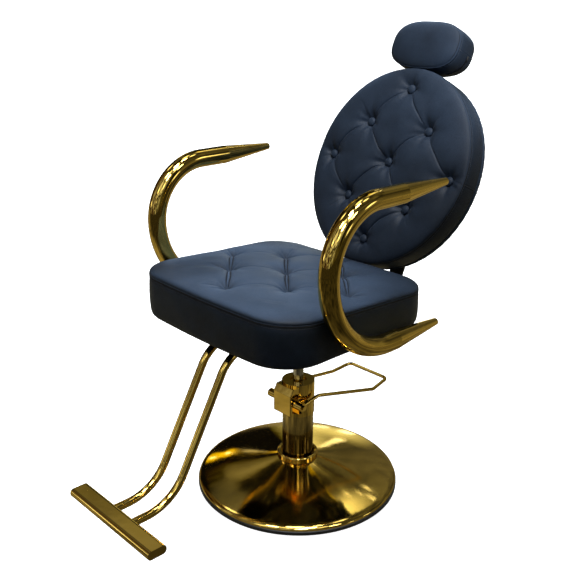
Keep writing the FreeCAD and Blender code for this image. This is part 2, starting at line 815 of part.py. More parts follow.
def build_seat():
    """Plywood board, foam core and the tufted cover that is drawn down over both."""
    board_low = seat_bottom
    board_top = seat_bottom + board_thickness
    board = Part.Face(rounded(seat_half_width - board_inset, -seat_front + board_inset,
                              seat_rear - board_inset, seat_corner - board_inset, board_low))
    board = board.extrude(V(0, 0, board_thickness))
    pocket = Part.Face(rounded(seat_half_width - board_inset + seat_fit, -seat_front + board_inset - seat_fit,
                               seat_rear - board_inset + seat_fit, seat_corner - board_inset, board_low - overrun))
    pocket = pocket.extrude(V(0, 0, board_thickness + overrun))
    core_inset = board_inset + seat_core_inset
    core = Part.Face(rounded(seat_half_width - core_inset, -seat_front + core_inset, seat_rear - core_inset,
                             seat_corner - core_inset, board_top))
    core = core.extrude(V(0, 0, seat_core_height))
    save("seat_foam", core)
    for x, y in frame_bolt_places():
        board = board.cut(cylinder_z(bolt_radius + bolt_fit, board_low, board_low + bolt_grip, x, y))
    for x, y in arm_bolt_places() + cheek_bolt_places():
        for side in (1, -1):
            board = board.cut(cylinder_z(bolt_radius + bolt_fit, board_low, board_low + bolt_grip, side * x, y))
    save("seat_board", board)
    welt = seat_bottom + seat_welt_rise
    roll_top = seat_bottom + seat_roll_rise
    roll = loft([seat_outline(seat_roll, seat_bottom), seat_outline(seat_roll_top, roll_top)])
    sides = loft([seat_outline(seat_roll_top, roll_top),
                  seat_outline(-seat_side_swell, seat_bottom + seat_welt_rise / 2, 0.5),
                  seat_outline(0, welt, 1)])
    crown_share = ((0, 0), (0.38, 0.03), (0.6, 0.11), (0.78, 0.23), (0.92, 0.42), (0.98, 0.62), (1, 0.85))
    sections = [seat_outline(inset_share * seat_crown_reach, welt + rise_share * seat_crown, 1)
                for rise_share, inset_share in crown_share]
    cushion = sides.fuse([roll, loft(sections)]).cut([pocket, core])
    top = welt + seat_crown
    cuts = tuft_cuts(seat_tuft_centre, seat_tuft_half_width, seat_tuft_half_depth, top)
    for cut in cuts:
        cut.rotate(V(0, (seat_rear - seat_front) / 2, welt), X_AXIS, -seat_tilt)
    save("seat_cushion", cushion.cut(cuts))


def arm_bolt_places():
    """Places of the bolts in one arm bracket, on the +X side."""
    x = arm_bracket_inner + frame_bolt_inset
    middle = (arm_bracket_back - arm_bracket_front) / 2
    near = x + arm_bolt_spread
    return [(x, middle - arm_bracket_front / 2), (x, middle + arm_bracket_front / 2), (near, middle)]


def arm(side):
    """One armrest: a C of round tube whose two legs taper to blunt tips."""
    outer = arm_body(side, 0)
    inner = arm_body(side, arm_wall)
    return outer.cut(inner)


def arm_body(side, inset):
    """The solid of one armrest, or with an inset the room inside its wall."""
    x = side * arm_plane
    lower_bend = arm_top - arm_bottom - arm_upper_bend - arm_straight
    taper_start = arm_tip_back - arm_taper
    points = [V(x, taper_start, arm_top), V(x, -arm_front, arm_top), V(x, -arm_front, arm_bottom),
              V(x, taper_start, arm_bottom)]
    body = rod(points, [arm_upper_bend, lower_bend], arm_radius - inset)
    tip_back = arm_tip_back - arm_tip_wall if inset else arm_tip_back
    for height, shift in ((arm_top, arm_tip_shift), (arm_bottom, arm_tip_shift / 2)):
        root = Part.Circle(V(x, taper_start, height), Y_AXIS, arm_radius - inset).toShape()
        tip = Part.Circle(V(x, tip_back, height + shift), Y_AXIS, arm_tip_radius - inset).toShape()
        taper = loft([Part.Wire([root]), Part.Wire([tip])])
        end_edges = [edge for edge in taper.Edges if edge.BoundBox.YMin > tip_back - arm_tip_round]
        body = body.fuse(taper if inset else taper.makeFillet(arm_tip_round, end_edges))
    return body


def build_arms():
    """Armrests with the steel brackets that carry them under the seat board."""
    left = arm(1)
    right = mirror_x(left)
    save("armrest_left", left)
    save("armrest_right", right)
    low = seat_bottom - plate_thickness
    strap = block(arm_bracket_inner, arm_plane, -arm_bracket_front, arm_bracket_back, low, seat_bottom)
    strap = strap.cut(left)
    strap = max(strap.Solids, key=lambda solid: solid.Volume)
    bolts = []
    for x, y in arm_bolt_places():
        strap = strap.cut(cylinder_z(bolt_radius + bolt_fit, low, seat_bottom, x, y))
        bolts.append(bolt(V(x, y, low), -Z_AXIS, bolt_head_radius, bolt_head_height, bolt_radius,
                          plate_thickness + bolt_grip))
    save("arm_brackets", strap, mirror_x(strap))
    save("arm_bolts", *(bolts + [mirror_x(each) for each in bolts]))


def cheek_bolt_places():
    """Places of the bolts in one hinge bracket, on the +X side."""
    x = cheek_outer() + cheek_flange / 2
    return [(x, cheek_front + frame_bolt_inset), (x, seat_rear - board_inset - frame_bolt_inset)]


def cheek_inner():
    return bar_inner + bar_width + washer_gap + washer_thickness + washer_gap


def cheek_outer():
    return cheek_inner() + cheek_thickness


def build_back_hinge():
    """Brackets, pin and friction washers of the recline, with its clamping handle."""
    low = hinge_rise - cheek_nose
    flange_low = seat_bottom - plate_thickness
    cheek = block(cheek_inner(), cheek_outer(), cheek_front, hinge_back, low, seat_bottom)
    nose = cylinder_x(cheek_nose, cheek_inner(), cheek_outer(), hinge_back, hinge_rise)
    above = block(cheek_inner(), cheek_outer(), seat_rear, hinge_back + cheek_nose, seat_bottom,
                  seat_bottom + cheek_nose)
    flange = block(cheek_inner(), cheek_outer() + cheek_flange, cheek_front, seat_rear - board_inset,
                   flange_low, seat_bottom)
    bracket = cheek.fuse([nose, flange]).cut(above).removeSplitter()
    bracket = bracket.cut(cylinder_x(hinge_pin_radius, cheek_inner(), cheek_outer(), hinge_back, hinge_rise))
    bolts = []
    for x, y in cheek_bolt_places():
        bracket = bracket.cut(cylinder_z(bolt_radius + bolt_fit, flange_low, seat_bottom, x, y))
        bolts.append(bolt(V(x, y, flange_low), -Z_AXIS, bolt_head_radius, bolt_head_height, bolt_radius,
                          plate_thickness + bolt_grip))
    save("hinge_brackets", bracket, mirror_x(bracket))
    save("hinge_bolts", *(bolts + [mirror_x(each) for each in bolts]))
    handle_side = -(cheek_outer() + washer_thickness + clamp_hub_length)
    pin = cylinder_x(hinge_pin_radius, handle_side, cheek_outer(), hinge_back, hinge_rise)
    cap = cylinder_x(pin_head_radius, cheek_outer(), cheek_outer() + pin_head_height, hinge_back, hinge_rise)
    save("hinge_pin", pin.fuse(cap))
    washer_low = bar_inner + bar_width + washer_gap
    washer = cylinder_x(knuckle_radius, washer_low, washer_low + washer_thickness, hinge_back, hinge_rise)
    bore = cylinder_x(hinge_pin_radius, washer_low, washer_low + washer_thickness, hinge_back, hinge_rise)
    washer = washer.cut(bore)
    save("friction_washers", washer, mirror_x(washer))
    hub_high = -(cheek_outer() + washer_gap)
    hub = cylinder_x(clamp_hub_radius, hub_high - clamp_hub_length, hub_high, hinge_back, hinge_rise)
    middle = hub_high - clamp_hub_length / 2
    start = V(middle, hinge_back, hinge_rise)
    knee = start + V(0, -clamp_arm_reach / 2, -clamp_arm_drop / 2)
    end = start + V(-clamp_arm_reach / 2, -clamp_arm_reach, -clamp_arm_drop)
    handle = rod([start, knee, end], [clamp_arm_bend], clamp_arm_radius).fuse(hub)
    bore = cylinder_x(hinge_pin_radius + running_fit, hub_high - clamp_hub_length, hub_high,
                      hinge_back, hinge_rise)
    save("clamp_handle", handle.cut(bore))
    ball = Part.makeSphere(clamp_knob_radius, end)
    save("clamp_knob", ball.cut(handle))


def build_back_bars():
    """Two bent flat bars that carry the back from the hinge, with their bolts."""
    out = -back_pad_depth - back_cover_depth - bar_thickness / 2
    top = back_point(bar_top, out)
    foot = back_point(-back_half_height, out)
    turn = foot + (foot - top) * ((foot.z - bar_turn_rise) / (top.z - foot.z))
    points = [V(0, hinge_back, hinge_rise), turn, top]
    bolt_base = -back_pad_depth - back_cover_depth - bar_thickness
    shank = bar_thickness + back_cover_depth + bolt_grip
    middle = bar_inner + bar_width / 2
    bars = []
    bolts = []
    for side in (1, -1):
        low = bar_inner if side > 0 else -bar_inner - bar_width
        bar = strip(points, [bar_bend], low, low + bar_width, bar_thickness)
        knuckle = cylinder_x(knuckle_radius, low, low + bar_width, hinge_back, hinge_rise)
        bar = bar.fuse(knuckle).removeSplitter()
        bar = bar.cut(cylinder_x(hinge_pin_radius + running_fit, low, low + bar_width, hinge_back, hinge_rise))
        for up in (bar_bolt_low, bar_bolt_high):
            place = V(side * middle, up, bolt_base)
            hole = Part.makeCylinder(bolt_radius + bolt_fit, bar_thickness, place, Z_AXIS)
            bar = bar.cut(in_back_plane(hole))
            bolts.append(in_back_plane(bolt(place, -Z_AXIS, bolt_head_radius, bolt_head_height,
                                            bolt_radius, shank)))
        bars.append(bar)
    save("back_bar_left", bars[0])
    save("back_bar_right", bars[1])
    save("back_bar_bolts", *bolts)


def back_holes(low, high):
    """Holes for the bolts of the back bars and of the headrest's sleeve."""
    holes = []
    for side in (1, -1):
        x = side * (bar_inner + bar_width / 2)
        for up in (bar_bolt_low, bar_bolt_high):
            holes.append(cylinder_z(bolt_radius + bolt_fit, low, high, x, up))
        x = side * (sleeve_half_width + sleeve_flange / 2)
        for up in sleeve_bolt_heights():
            holes.append(cylinder_z(bolt_radius + bolt_fit, low, high, x, up))
    return holes


def sleeve_bolt_heights():
    return (sleeve_bottom + sleeve_flange / 2, sleeve_top - sleeve_flange / 2)


def build_back():
    """Round tufted back pad on its board, with covered buttons and a padded rear cover."""
    low = -back_pad_depth
    board_half_width = back_half_width - back_board_inset
    board_half_height = back_half_height - back_board_inset
    board = Part.Face(oval(board_half_width, board_half_height, low)).extrude(V(0, 0, back_board_thickness))
    board = board.cut(back_holes(low, low + bolt_grip))
    save("back_board", in_back_plane(board))
    pocket = Part.Face(oval(board_half_width + seat_fit, board_half_height + seat_fit, low - overrun))
    pocket = pocket.extrude(V(0, 0, back_board_thickness + overrun))
    sides = loft([oval(back_half_width, back_half_height, low), oval(back_half_width, back_half_height, 0)])
    crown_share = ((0, 0), (0.4, 0.05), (0.7, 0.15), (0.9, 0.34), (1, 0.62))
    sections = []
    for rise_share, inset_share in crown_share:
        sections.append(oval(back_half_width * (1 - inset_share), back_half_height * (1 - inset_share),
                             back_crown * rise_share))
    core = Part.Face(oval(board_half_width - back_core_inset, board_half_height - back_core_inset,
                          low + back_board_thickness))
    core = core.extrude(V(0, 0, back_core_height))
    save("back_foam", in_back_plane(core))
    pad = sides.fuse(loft(sections)).cut([pocket, core])
    cuts = tuft_cuts(0.0, back_tuft_half_width, back_tuft_half_height, back_crown)
    save("back_cushion", in_back_plane(pad.cut(cuts)))
    floor = back_crown - tuft_depth
    buttons = []
    for x, up in tuft_places(0.0, back_tuft_half_width, back_tuft_half_height):
        disc = cylinder_z(button_radius, floor, floor + button_edge, x, up)
        sphere_radius = (button_radius ** 2 + (button_height - button_edge) ** 2) / (
            2 * (button_height - button_edge))
        ball = Part.makeSphere(sphere_radius, V(x, up, floor + button_height - sphere_radius))
        dome = ball.common(cylinder_z(button_radius, floor + button_edge, floor + button_height, x, up))
        buttons.append(in_back_plane(disc.fuse(dome)))
    save("back_buttons", *buttons)
    cover_low = low - back_cover_depth
    inset = back_cover_draw
    cover = loft([oval(back_half_width - back_cover_round, back_half_height - back_cover_round, cover_low),
                  oval(back_half_width - inset, back_half_height - inset, cover_low + back_cover_round),
                  oval(back_half_width, back_half_height, low)])
    cover = cover.cut(back_holes(cover_low - overrun, low))
    save("back_rear_cover", in_back_plane(cover))


def build_sleeve():
    """Guide on the back for the headrest's post, with its bolts and its clamping knob."""
    out_high = -back_pad_depth - back_cover_depth
    out_low = out_high - sleeve_depth
    body = block(-sleeve_half_width, sleeve_half_width, sleeve_bottom, sleeve_top, out_low, out_high)
    half_flange = sleeve_half_width + sleeve_flange
    wings = block(-half_flange, half_flange, sleeve_bottom, sleeve_top, out_high - sleeve_flange_thickness,
                  out_high)
    slot_half = post_half_width + post_gap
    slot_low = head_axis_out - post_thickness / 2 - post_gap
    slot_high = head_axis_out + post_thickness / 2 + post_gap
    slot = block(-slot_half, slot_half, sleeve_bottom, sleeve_top, slot_low, slot_high)
    sleeve = body.fuse(wings).cut(slot).removeSplitter()
    knob_hole = cylinder_z(knob_stem_radius + running_fit, out_low, slot_low, 0, knob_rise)
    sleeve = sleeve.cut(knob_hole)
    bolts = []
    base = out_high - sleeve_flange_thickness
    shank = sleeve_flange_thickness + back_cover_depth + bolt_grip
    for side in (1, -1):
        x = side * (sleeve_half_width + sleeve_flange / 2)
        for up in sleeve_bolt_heights():
            sleeve = sleeve.cut(cylinder_z(bolt_radius + bolt_fit, base, out_high, x, up))
            bolts.append(in_back_plane(bolt(V(x, up, base), -Z_AXIS, bolt_head_radius, bolt_head_height,
                                            bolt_radius, shank)))
    save("headrest_sleeve", in_back_plane(sleeve))
    save("sleeve_bolts", *bolts)
    knob_high = out_low - washer_thickness
    stem_high = slot_low - post_gap
    stem = cylinder_z(knob_stem_radius, knob_high, stem_high, 0, knob_rise)
    grip = cylinder_z(knob_radius, knob_high - knob_length, knob_high, 0, knob_rise)
    for index in range(knob_lobes):
        angle = 2 * math.pi * index / knob_lobes
        x = (knob_radius + knob_lobe_offset) * math.cos(angle)
        y = knob_rise + (knob_radius + knob_lobe_offset) * math.sin(angle)
        grip = grip.cut(cylinder_z(knob_lobe_radius, knob_high - knob_length, knob_high, x, y))
    save("headrest_knob", in_back_plane(stem.fuse(grip)))


def build_headrest():
    """Headrest pillow on its board, hinged to a flat post that slides in the sleeve."""
    post = block(-post_half_width, post_half_width, post_bottom, head_centre_up,
                 head_axis_out - post_thickness / 2, head_axis_out + post_thickness / 2)
    trim = post_knuckle_radius + overrun / 2
    for side in (1, -1):
        inner = post_knuckle_half
        outer = post_half_width + overrun
        notch = block(inner if side > 0 else -outer, outer if side > 0 else -inner, head_centre_up - trim,
                      head_centre_up + overrun, head_axis_out - trim, head_axis_out + trim)
        post = post.cut(notch)
    knuckle = cylinder_x(post_knuckle_radius, -post_knuckle_half, post_knuckle_half,
                         head_centre_up, head_axis_out)
    bore = cylinder_x(head_pin_radius + running_fit, -post_knuckle_half, post_knuckle_half,
                      head_centre_up, head_axis_out)
    post = post.fuse(knuckle).removeSplitter().cut(bore)
    save("headrest_post", in_back_plane(post))
    rear = -head_depth
    plate_low = rear - head_bracket_thickness
    plate = block(-head_bracket_half_width, head_bracket_half_width,
                  head_centre_up - head_bracket_half_height, head_centre_up + head_bracket_half_height,
                  plate_low, rear)
    ears = []
    inner = post_knuckle_half + head_ear_gap
    for side in (1, -1):
        outer = inner + head_bracket_thickness
        ear = block(inner, outer, head_centre_up - head_ear_radius, head_centre_up + head_ear_radius,
                    head_axis_out, plate_low)
        round_end = cylinder_x(head_ear_radius, inner, outer, head_centre_up, head_axis_out)
        ear = ear.fuse(round_end)
        ears.append(ear if side > 0 else mirror_x(ear))
    bracket = plate.fuse(ears).removeSplitter()
    pin_bore = cylinder_x(head_pin_radius, -head_pin_half, head_pin_half, head_centre_up, head_axis_out)
    save("headrest_bracket", in_back_plane(bracket.cut(pin_bore)))
    save("headrest_pin", in_back_plane(pin_bore))
    board_half_width = head_half_width - head_board_inset
    board_half_height = head_half_height - head_board_inset
    board = Part.Face(head_oval(board_half_width, board_half_height, rear))
    board = board.extrude(V(0, 0, head_board_thickness))
    save("headrest_board", in_back_plane(board))
    pocket = Part.Face(head_oval(board_half_width + seat_fit, board_half_height + seat_fit, rear - overrun))
    pocket = pocket.extrude(V(0, 0, head_board_thickness + overrun))
    core = Part.Face(head_oval(board_half_width - head_core_inset, board_half_height - head_core_inset,
                               rear + head_board_thickness))
    core = core.extrude(V(0, 0, head_core_height))
    save("headrest_foam", in_back_plane(core))
    edge = head_edge_round
    draw = head_edge_draw
    sections = [head_oval(head_half_width - edge, head_half_height - edge, rear),
                head_oval(head_half_width - draw, head_half_height - draw, rear + edge),
                head_oval(head_half_width, head_half_height, rear / 2),
                head_oval(head_half_width - draw, head_half_height - draw, 0)]
    body = loft(sections)
    crown_share = ((0, 0.01), (0.5, 0.1), (0.85, 0.28), (1, 0.55))
    crown = []
    for rise_share, inset_share in crown_share:
        inset = draw + inset_share * head_half_height
        crown.append(head_oval(head_half_width - inset, head_half_height - inset, head_crown * rise_share))
    cushion = body.fuse(loft(crown)).cut([pocket, core])
    save("headrest_cushion", in_back_plane(cushion))


def head_oval(half_x, half_y, z):
    return oval(half_x, half_y, z, head_power_share, head_centre_up)


os.makedirs("parts", exist_ok=True)
build_pump(build_base())
build_lever()
build_piston()
build_seat_frame()
build_footrest()
build_seat()
build_arms()
build_back_hinge()
build_back_bars()
build_back()
build_sleeve()
build_headrest()
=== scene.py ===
"""Looks of the threading chair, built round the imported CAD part. Metres, +Z up, the chair faces -Y."""
import json
import math

import bpy
import numpy as np
from mathutils import Matrix, Vector


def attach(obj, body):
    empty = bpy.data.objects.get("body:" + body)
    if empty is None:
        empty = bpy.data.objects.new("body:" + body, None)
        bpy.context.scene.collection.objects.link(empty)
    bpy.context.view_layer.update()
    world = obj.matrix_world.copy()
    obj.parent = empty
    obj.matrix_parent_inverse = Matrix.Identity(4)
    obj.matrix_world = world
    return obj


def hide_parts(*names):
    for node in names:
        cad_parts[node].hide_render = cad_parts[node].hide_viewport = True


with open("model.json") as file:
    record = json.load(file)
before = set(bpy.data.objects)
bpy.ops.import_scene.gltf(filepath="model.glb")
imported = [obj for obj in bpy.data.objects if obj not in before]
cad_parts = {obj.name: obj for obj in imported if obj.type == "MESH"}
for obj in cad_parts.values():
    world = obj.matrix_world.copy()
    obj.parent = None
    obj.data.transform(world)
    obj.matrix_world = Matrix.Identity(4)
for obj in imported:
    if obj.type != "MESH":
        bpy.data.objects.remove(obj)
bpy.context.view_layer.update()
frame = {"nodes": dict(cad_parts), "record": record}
nodes = frame["nodes"]
scene = bpy.context.scene
chance = np.random.default_rng(7)

MM = 0.001

# Materials


def new_material(name):
    """An empty node material with one Principled shader."""
    material = bpy.data.materials.new(name)
    material.use_nodes = True
    tree = material.node_tree
    tree.nodes.clear()
    output = tree.nodes.new("ShaderNodeOutputMaterial")
    shader = tree.nodes.new("ShaderNodeBsdfPrincipled")
    tree.links.new(shader.outputs[0], output.inputs["Surface"])
    return material, tree, shader


def feed(tree, slot, source):
    """Links a socket to an input, or gives the input a constant."""
    if isinstance(source, bpy.types.NodeSocket):
        tree.links.new(source, slot)
    else:
        slot.default_value = source


def add(tree, kind, **values):
    """A shader node with some of its properties and inputs set."""
    node = tree.nodes.new("ShaderNode" + kind)
    for key, value in values.items():
        if hasattr(node, key):
            setattr(node, key, value)
        else:
            node.inputs[key.replace("_", " ").title()].default_value = value
    return node


def place(tree):
    return tree.nodes.new("ShaderNodeTexCoord").outputs["Object"]


def noise(tree, scale, detail=3.0, rough=0.5, vector=None, distortion=0.0):
    node = add(tree, "TexNoise", Scale=scale, Detail=detail, Roughness=rough, Distortion=distortion)
    tree.links.new(vector or place(tree), node.inputs["Vector"])
    return node.outputs["Fac"]


def voronoi(tree, scale, feature="F1", vector=None):
    node = add(tree, "TexVoronoi", feature=feature, Scale=scale)
    tree.links.new(vector or place(tree), node.inputs["Vector"])
    return node.outputs["Distance"]


def remap(tree, source, low, high, to_low=0.0, to_high=1.0):
    node = add(tree, "MapRange", From_Min=low, From_Max=high, To_Min=to_low, To_Max=to_high)
    tree.links.new(source, node.inputs["Value"])
    return node.outputs["Result"]


def maths(tree, operation, *terms):
    """Maths on numbers; each term is a socket or a constant."""
    node = add(tree, "Math", operation=operation)
    for slot, source in zip(node.inputs, terms):
        feed(tree, slot, source)
    return node.outputs[0]


def vector_maths(tree, operation, first, second):
    """Maths on vectors; each term is a socket or a constant."""
    node = add(tree, "VectorMath", operation=operation)
    feed(tree, node.inputs[0], first)
    feed(tree, node.inputs["Scale" if operation == "SCALE" else 1], second)
    return node.outputs["Value" if operation in ("DISTANCE", "DOT_PRODUCT") else "Vector"]


def blend_colours(tree, share, first, second):
    """A mix of two colours; each is a socket or three numbers."""
    node = add(tree, "Mix", data_type="RGBA")
    tree.links.new(share, node.inputs["Factor"])
    for name, source in (("A", first), ("B", second)):
        slot = [s for s in node.inputs if s.name == name and s.type == "RGBA"][0]
        feed(tree, slot, (*source, 1.0) if isinstance(source, tuple) else source)
    return [s for s in node.outputs if s.type == "RGBA"][0]


def stretched(tree, scale):
    """Object coordinates, stretched differently along each axis."""
    node = add(tree, "Mapping", Scale=scale)
    tree.links.new(place(tree), node.inputs["Vector"])
    return node.outputs["Vector"]


def shade(colour, *shares):
    """A colour with its channels scaled by one share, or by one each."""
    return tuple(np.multiply(colour, shares).tolist())


def bump(tree, height, distance, strength=1.0, below=None):
    node = add(tree, "Bump", Distance=distance, Strength=strength)
    tree.links.new(height, node.inputs["Height"])
    if below is not None:
        tree.links.new(below, node.inputs["Normal"])
    return node.outputs["Normal"]


def finish(tree, shader, colour, rough, normal):
    """Feeds the shader's colour, roughness and normal."""
    for slot, source in (("Base Color", colour), ("Roughness", rough), ("Normal", normal)):
        tree.links.new(source, shader.inputs[slot])


def leather(name, colour):
    """Soft upholstery leather: fine pebbled grain, faint clouds in the dye, paler where it is stretched."""
    material, tree, shader = new_material(name)
    where = place(tree)
    scatter = add(tree, "TexNoise", Scale=160.0, Detail=2.0)
    tree.links.new(where, scatter.inputs["Vector"])
    wavy = vector_maths(tree, "ADD", where, vector_maths(tree, "SCALE", scatter.outputs["Color"], 0.004))
    furrow = remap(tree, voronoi(tree, 420.0, "DISTANCE_TO_EDGE", wavy), 0.0, 0.14)
    pore = voronoi(tree, 1100.0, "F1", wavy)
    cloud = noise(tree, 7.0, 5.0, 0.55, where)
    fine = noise(tree, 330.0, 3.0, 0.6, where)
    deep, dark, pale, light = (shade(colour, share) for share in (0.45, 0.72, 1.35, 1.9))
    body = blend_colours(tree, remap(tree, cloud, 0.3, 0.7), dark, pale)
    grained = blend_colours(tree, remap(tree, furrow, 0.0, 1.0, 0.55, 1.0), deep, body)
    worn = tree.nodes.new("ShaderNodeNewGeometry").outputs["Pointiness"]
    rough = maths(tree, "ADD", remap(tree, fine, 0.2, 0.8, 0.40, 0.52),
                  remap(tree, furrow, 0.0, 1.0, 0.10, 0.0))
    soft = bump(tree, noise(tree, 42.0, 2.0, 0.5, where), 0.0010, 0.35)
    grain = bump(tree, furrow, 0.00016, 0.75, soft)
    finish(tree, shader, blend_colours(tree, remap(tree, worn, 0.505, 0.56, 0.0, 0.5), grained, light), rough,
           bump(tree, pore, 0.00009, 0.5, grain))
    shader.inputs["IOR"].default_value = 1.45
    shader.inputs["Specular IOR Level"].default_value = 0.23
    shader.inputs["Sheen Weight"].default_value = 0.015
    shader.inputs["Sheen Roughness"].default_value = 0.45
    return material


def plating(name, colour, rough, wave, spun=0.0, drawn=0.0):
    """Polished plating: faint waves and dull smudges, and on request a spun or a lengthwise drawn finish. With
    the drawn finish come near-black streaks towards its lower end, a painted dark reflection.
    """
    material, tree, shader = new_material(name)
    shader.inputs["Metallic"].default_value = 1.0
    smudge = noise(tree, 16.0, 4.0, 0.6)
    surface = blend_colours(tree, remap(tree, smudge, 0.35, 0.68), shade(colour, 0.91, 0.90, 0.86), colour)
    fine = noise(tree, 240.0, 2.0, 0.5)
    spread = maths(tree, "ADD", remap(tree, smudge, 0.3, 0.75, rough * 0.7, rough * 1.5),
                   remap(tree, fine, 0.3, 0.7, 0.0, rough * 0.35))
    slow = bump(tree, noise(tree, 24.0, 2.0, 0.5), 0.0006, wave)
    if spun:
        shader.inputs["Anisotropic"].default_value = spun
        shader.inputs["Anisotropic Rotation"].default_value = 0.25
        ring = add(tree, "Tangent", direction_type="RADIAL", axis="Z")
        tree.links.new(ring.outputs[0], shader.inputs["Tangent"])
    if drawn:
        lines = noise(tree, 190.0, 2.0, 0.6, stretched(tree, (1.0, 1.0, 0.01)))
        slow = bump(tree, lines, 0.0004, drawn, slow)
        parts = tree.nodes.new("ShaderNodeSeparateXYZ")
        tree.links.new(place(tree), parts.inputs[0])
        # Near-black streaks along the drawn lines that fade out upwards: painted dark reflection on the lower
        # part.
        painted_dark_reflection = maths(tree, "MULTIPLY", remap(tree, lines, 0.42, 0.60, 1.0, 0.55),
                      remap(tree, parts.outputs["Z"], 0.125, 0.185, 0.96, 0.0))
        surface = blend_colours(tree, painted_dark_reflection, colour, (0.035, 0.026, 0.012))
    finish(tree, shader, surface, spread, bump(tree, noise(tree, 900.0, 1.0, 0.5), 0.00001, 0.4, slow))
    return material


def metal(name, colour, rough, grain_scale, grain_depth, metallic=1.0):
    """Plain or painted metal with a fine grain."""
    material, tree, shader = new_material(name)
    shader.inputs["Metallic"].default_value = metallic
    patch = remap(tree, noise(tree, 30.0, 4.0, 0.6), 0.3, 0.7)
    grain = noise(tree, grain_scale, 3.0, 0.55)
    finish(tree, shader, blend_colours(tree, patch, shade(colour, 0.75), colour),
           remap(tree, grain, 0.25, 0.75, rough * 0.8, rough * 1.25), bump(tree, grain, grain_depth, 0.6))
    return material


def rubber(name, colour):
    """Matt moulded rubber with a little dust on it."""
    material, tree, shader = new_material(name)
    fine = noise(tree, 500.0, 4.0, 0.65)
    dust = remap(tree, noise(tree, 12.0, 5.0, 0.6), 0.45, 0.8)
    pale = tuple(channel * 2.2 + 0.004 for channel in colour)
    finish(tree, shader, blend_colours(tree, dust, colour, pale), remap(tree, fine, 0.2, 0.8, 0.42, 0.62),
           bump(tree, fine, 0.00012, 0.7))
    return material


def plastic(name, colour, rough=0.42):
    """Moulded plastic, thread or foam, by its roughness."""
    material, tree, shader = new_material(name)
    patch = noise(tree, 20.0)
    finish(tree, shader, blend_colours(tree, patch, colour, shade(colour, 1.4)),
           remap(tree, patch, 0.2, 0.8, rough * 0.85, rough * 1.15),
           bump(tree, voronoi(tree, 900.0), 0.00006, 0.6))
    return material


def plywood(name):
    """Birch plywood: long grain on the faces, plies at the edges."""
    material, tree, shader = new_material(name)
    along = stretched(tree, (1.0, 14.0, 14.0))
    grain = noise(tree, 9.0, 8.0, 0.65, along, 0.6)
    ring = remap(tree, noise(tree, 3.0, 3.0, 0.5, along), 0.4, 0.6, 0.0, 0.35)
    face = blend_colours(tree, remap(tree, grain, 0.35, 0.7), (0.52, 0.36, 0.20), (0.68, 0.52, 0.33))
    finish(tree, shader, blend_colours(tree, ring, face, (0.40, 0.25, 0.13)),
           remap(tree, grain, 0.2, 0.8, 0.50, 0.68), bump(tree, grain, 0.0002, 0.6))
    return material


NAVY = (0.027, 0.041, 0.068)
GOLD = (0.80, 0.57, 0.14)
paint = {
    "leather": leather("leather_navy", NAVY),
    "gold": plating("gold_chrome", GOLD, 0.04, 0.30),
    "chrome": plating("bright_chrome", (0.62, 0.60, 0.55), 0.12, 0.3),
    "steel": metal("zinc_steel", (0.58, 0.58, 0.55), 0.32, 400.0, 0.00003),
    "black_steel": metal("black_powder_coat", (0.022, 0.023, 0.025), 0.48, 700.0, 0.0001, 0.0),
    "iron": metal("grey_cast_iron", (0.10, 0.10, 0.10), 0.6, 260.0, 0.0003, 0.6),
    "rubber": rubber("black_rubber", (0.012, 0.014, 0.019)),
    "bronze": metal("bearing_bronze", (0.50, 0.34, 0.17), 0.34, 500.0, 0.00004),
    "wood": plywood("birch_plywood"),
    "plastic": plastic("black_plastic", (0.017, 0.018, 0.020)),
    "foam": plastic("cut_foam", (0.72, 0.66, 0.46), 0.9),
}
thread = plastic("navy_thread", (0.060, 0.076, 0.105), 0.6)
# Near-black: on the lines in the seam grooves and pleat creases it is painted shade; on the zip it is the
# zip's own black.
painted_shade_and_zip_black = plastic("painted_shade_and_black_zip", (0.004, 0.005, 0.008), 0.8)
slots = {part["node"]: part["material_slot"] for part in frame["record"]["subparts"]}
for name, piece in nodes.items():
    piece.data.materials.clear()
    piece.data.materials.append(paint[slots[name]])
nodes["base_disc"].data.materials[0] = plating("gold_spun", GOLD, 0.075, 0.30, spun=0.90)
nodes["pump_column"].data.materials[0] = plating("gold_drawn", (0.58, 0.44, 0.16), 0.05, 0.2, drawn=0.8)

# Mesh helpers


def build(name, shape, material, body, smooth=True):
    """A mesh object in the row frame that rides on a body. The shape is its points and its faces."""
    points, faces = shape
    mesh = bpy.data.meshes.new(name)
    mesh.from_pydata(np.asarray(points).reshape(-1, 3).tolist(), [], faces)
    mesh.validate()
    mesh.polygons.foreach_set("use_smooth", [smooth] * len(mesh.polygons))
    mesh.materials.append(material)
    mesh.update()
    piece = bpy.data.objects.new(name, mesh)
    scene.collection.objects.link(piece)
    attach(piece, body)
    return piece


def unit(vectors):
    """The vectors with length 1."""
    return vectors / np.linalg.norm(vectors, axis=1)[:, None]


def around(count):
    """Evenly spaced angles of a full turn."""
    return np.linspace(0, 2 * math.pi, count, endpoint=False)


def at(plan, depth):
    """Plan points with a depth or height: one number, or one number a point."""
    return np.column_stack([plan, np.zeros(len(plan)) + depth])


def circles(centres, radius, side, over, sides):
    """A circle of points round each centre, in the plane of two unit vectors."""
    turn = around(sides)[None, :, None]
    wide = np.asarray(radius, float).reshape(-1, 1, 1)
    return centres[:, None, :] + wide * (side[:, None, :] * np.cos(turn) + over[:, None, :] * np.sin(turn))


def ring_faces(rings, columns, closed=False):
    """Quads between rows of points that are closed round, wound so that the shapes below face outwards."""
    row = np.arange(rings if closed else rings - 1)[:, None]
    column = np.arange(columns)[None, :]
    after = (column + 1) % columns
    below = (row + 1) % rings
    quads = np.stack([row * columns + column, below * columns + column,
                      below * columns + after, row * columns + after], -1)
    return quads.reshape(-1, 4).tolist()


def end_fans(rings, columns):
    """Fans from the first and the last row to the two points that come after all rows."""
    middle = rings * columns
    last = middle - columns
    faces = []
    for column in range(columns):
        after = (column + 1) % columns
        faces.append((middle, column, after))
        faces.append((middle + 1, last + after, last + column))
    return faces


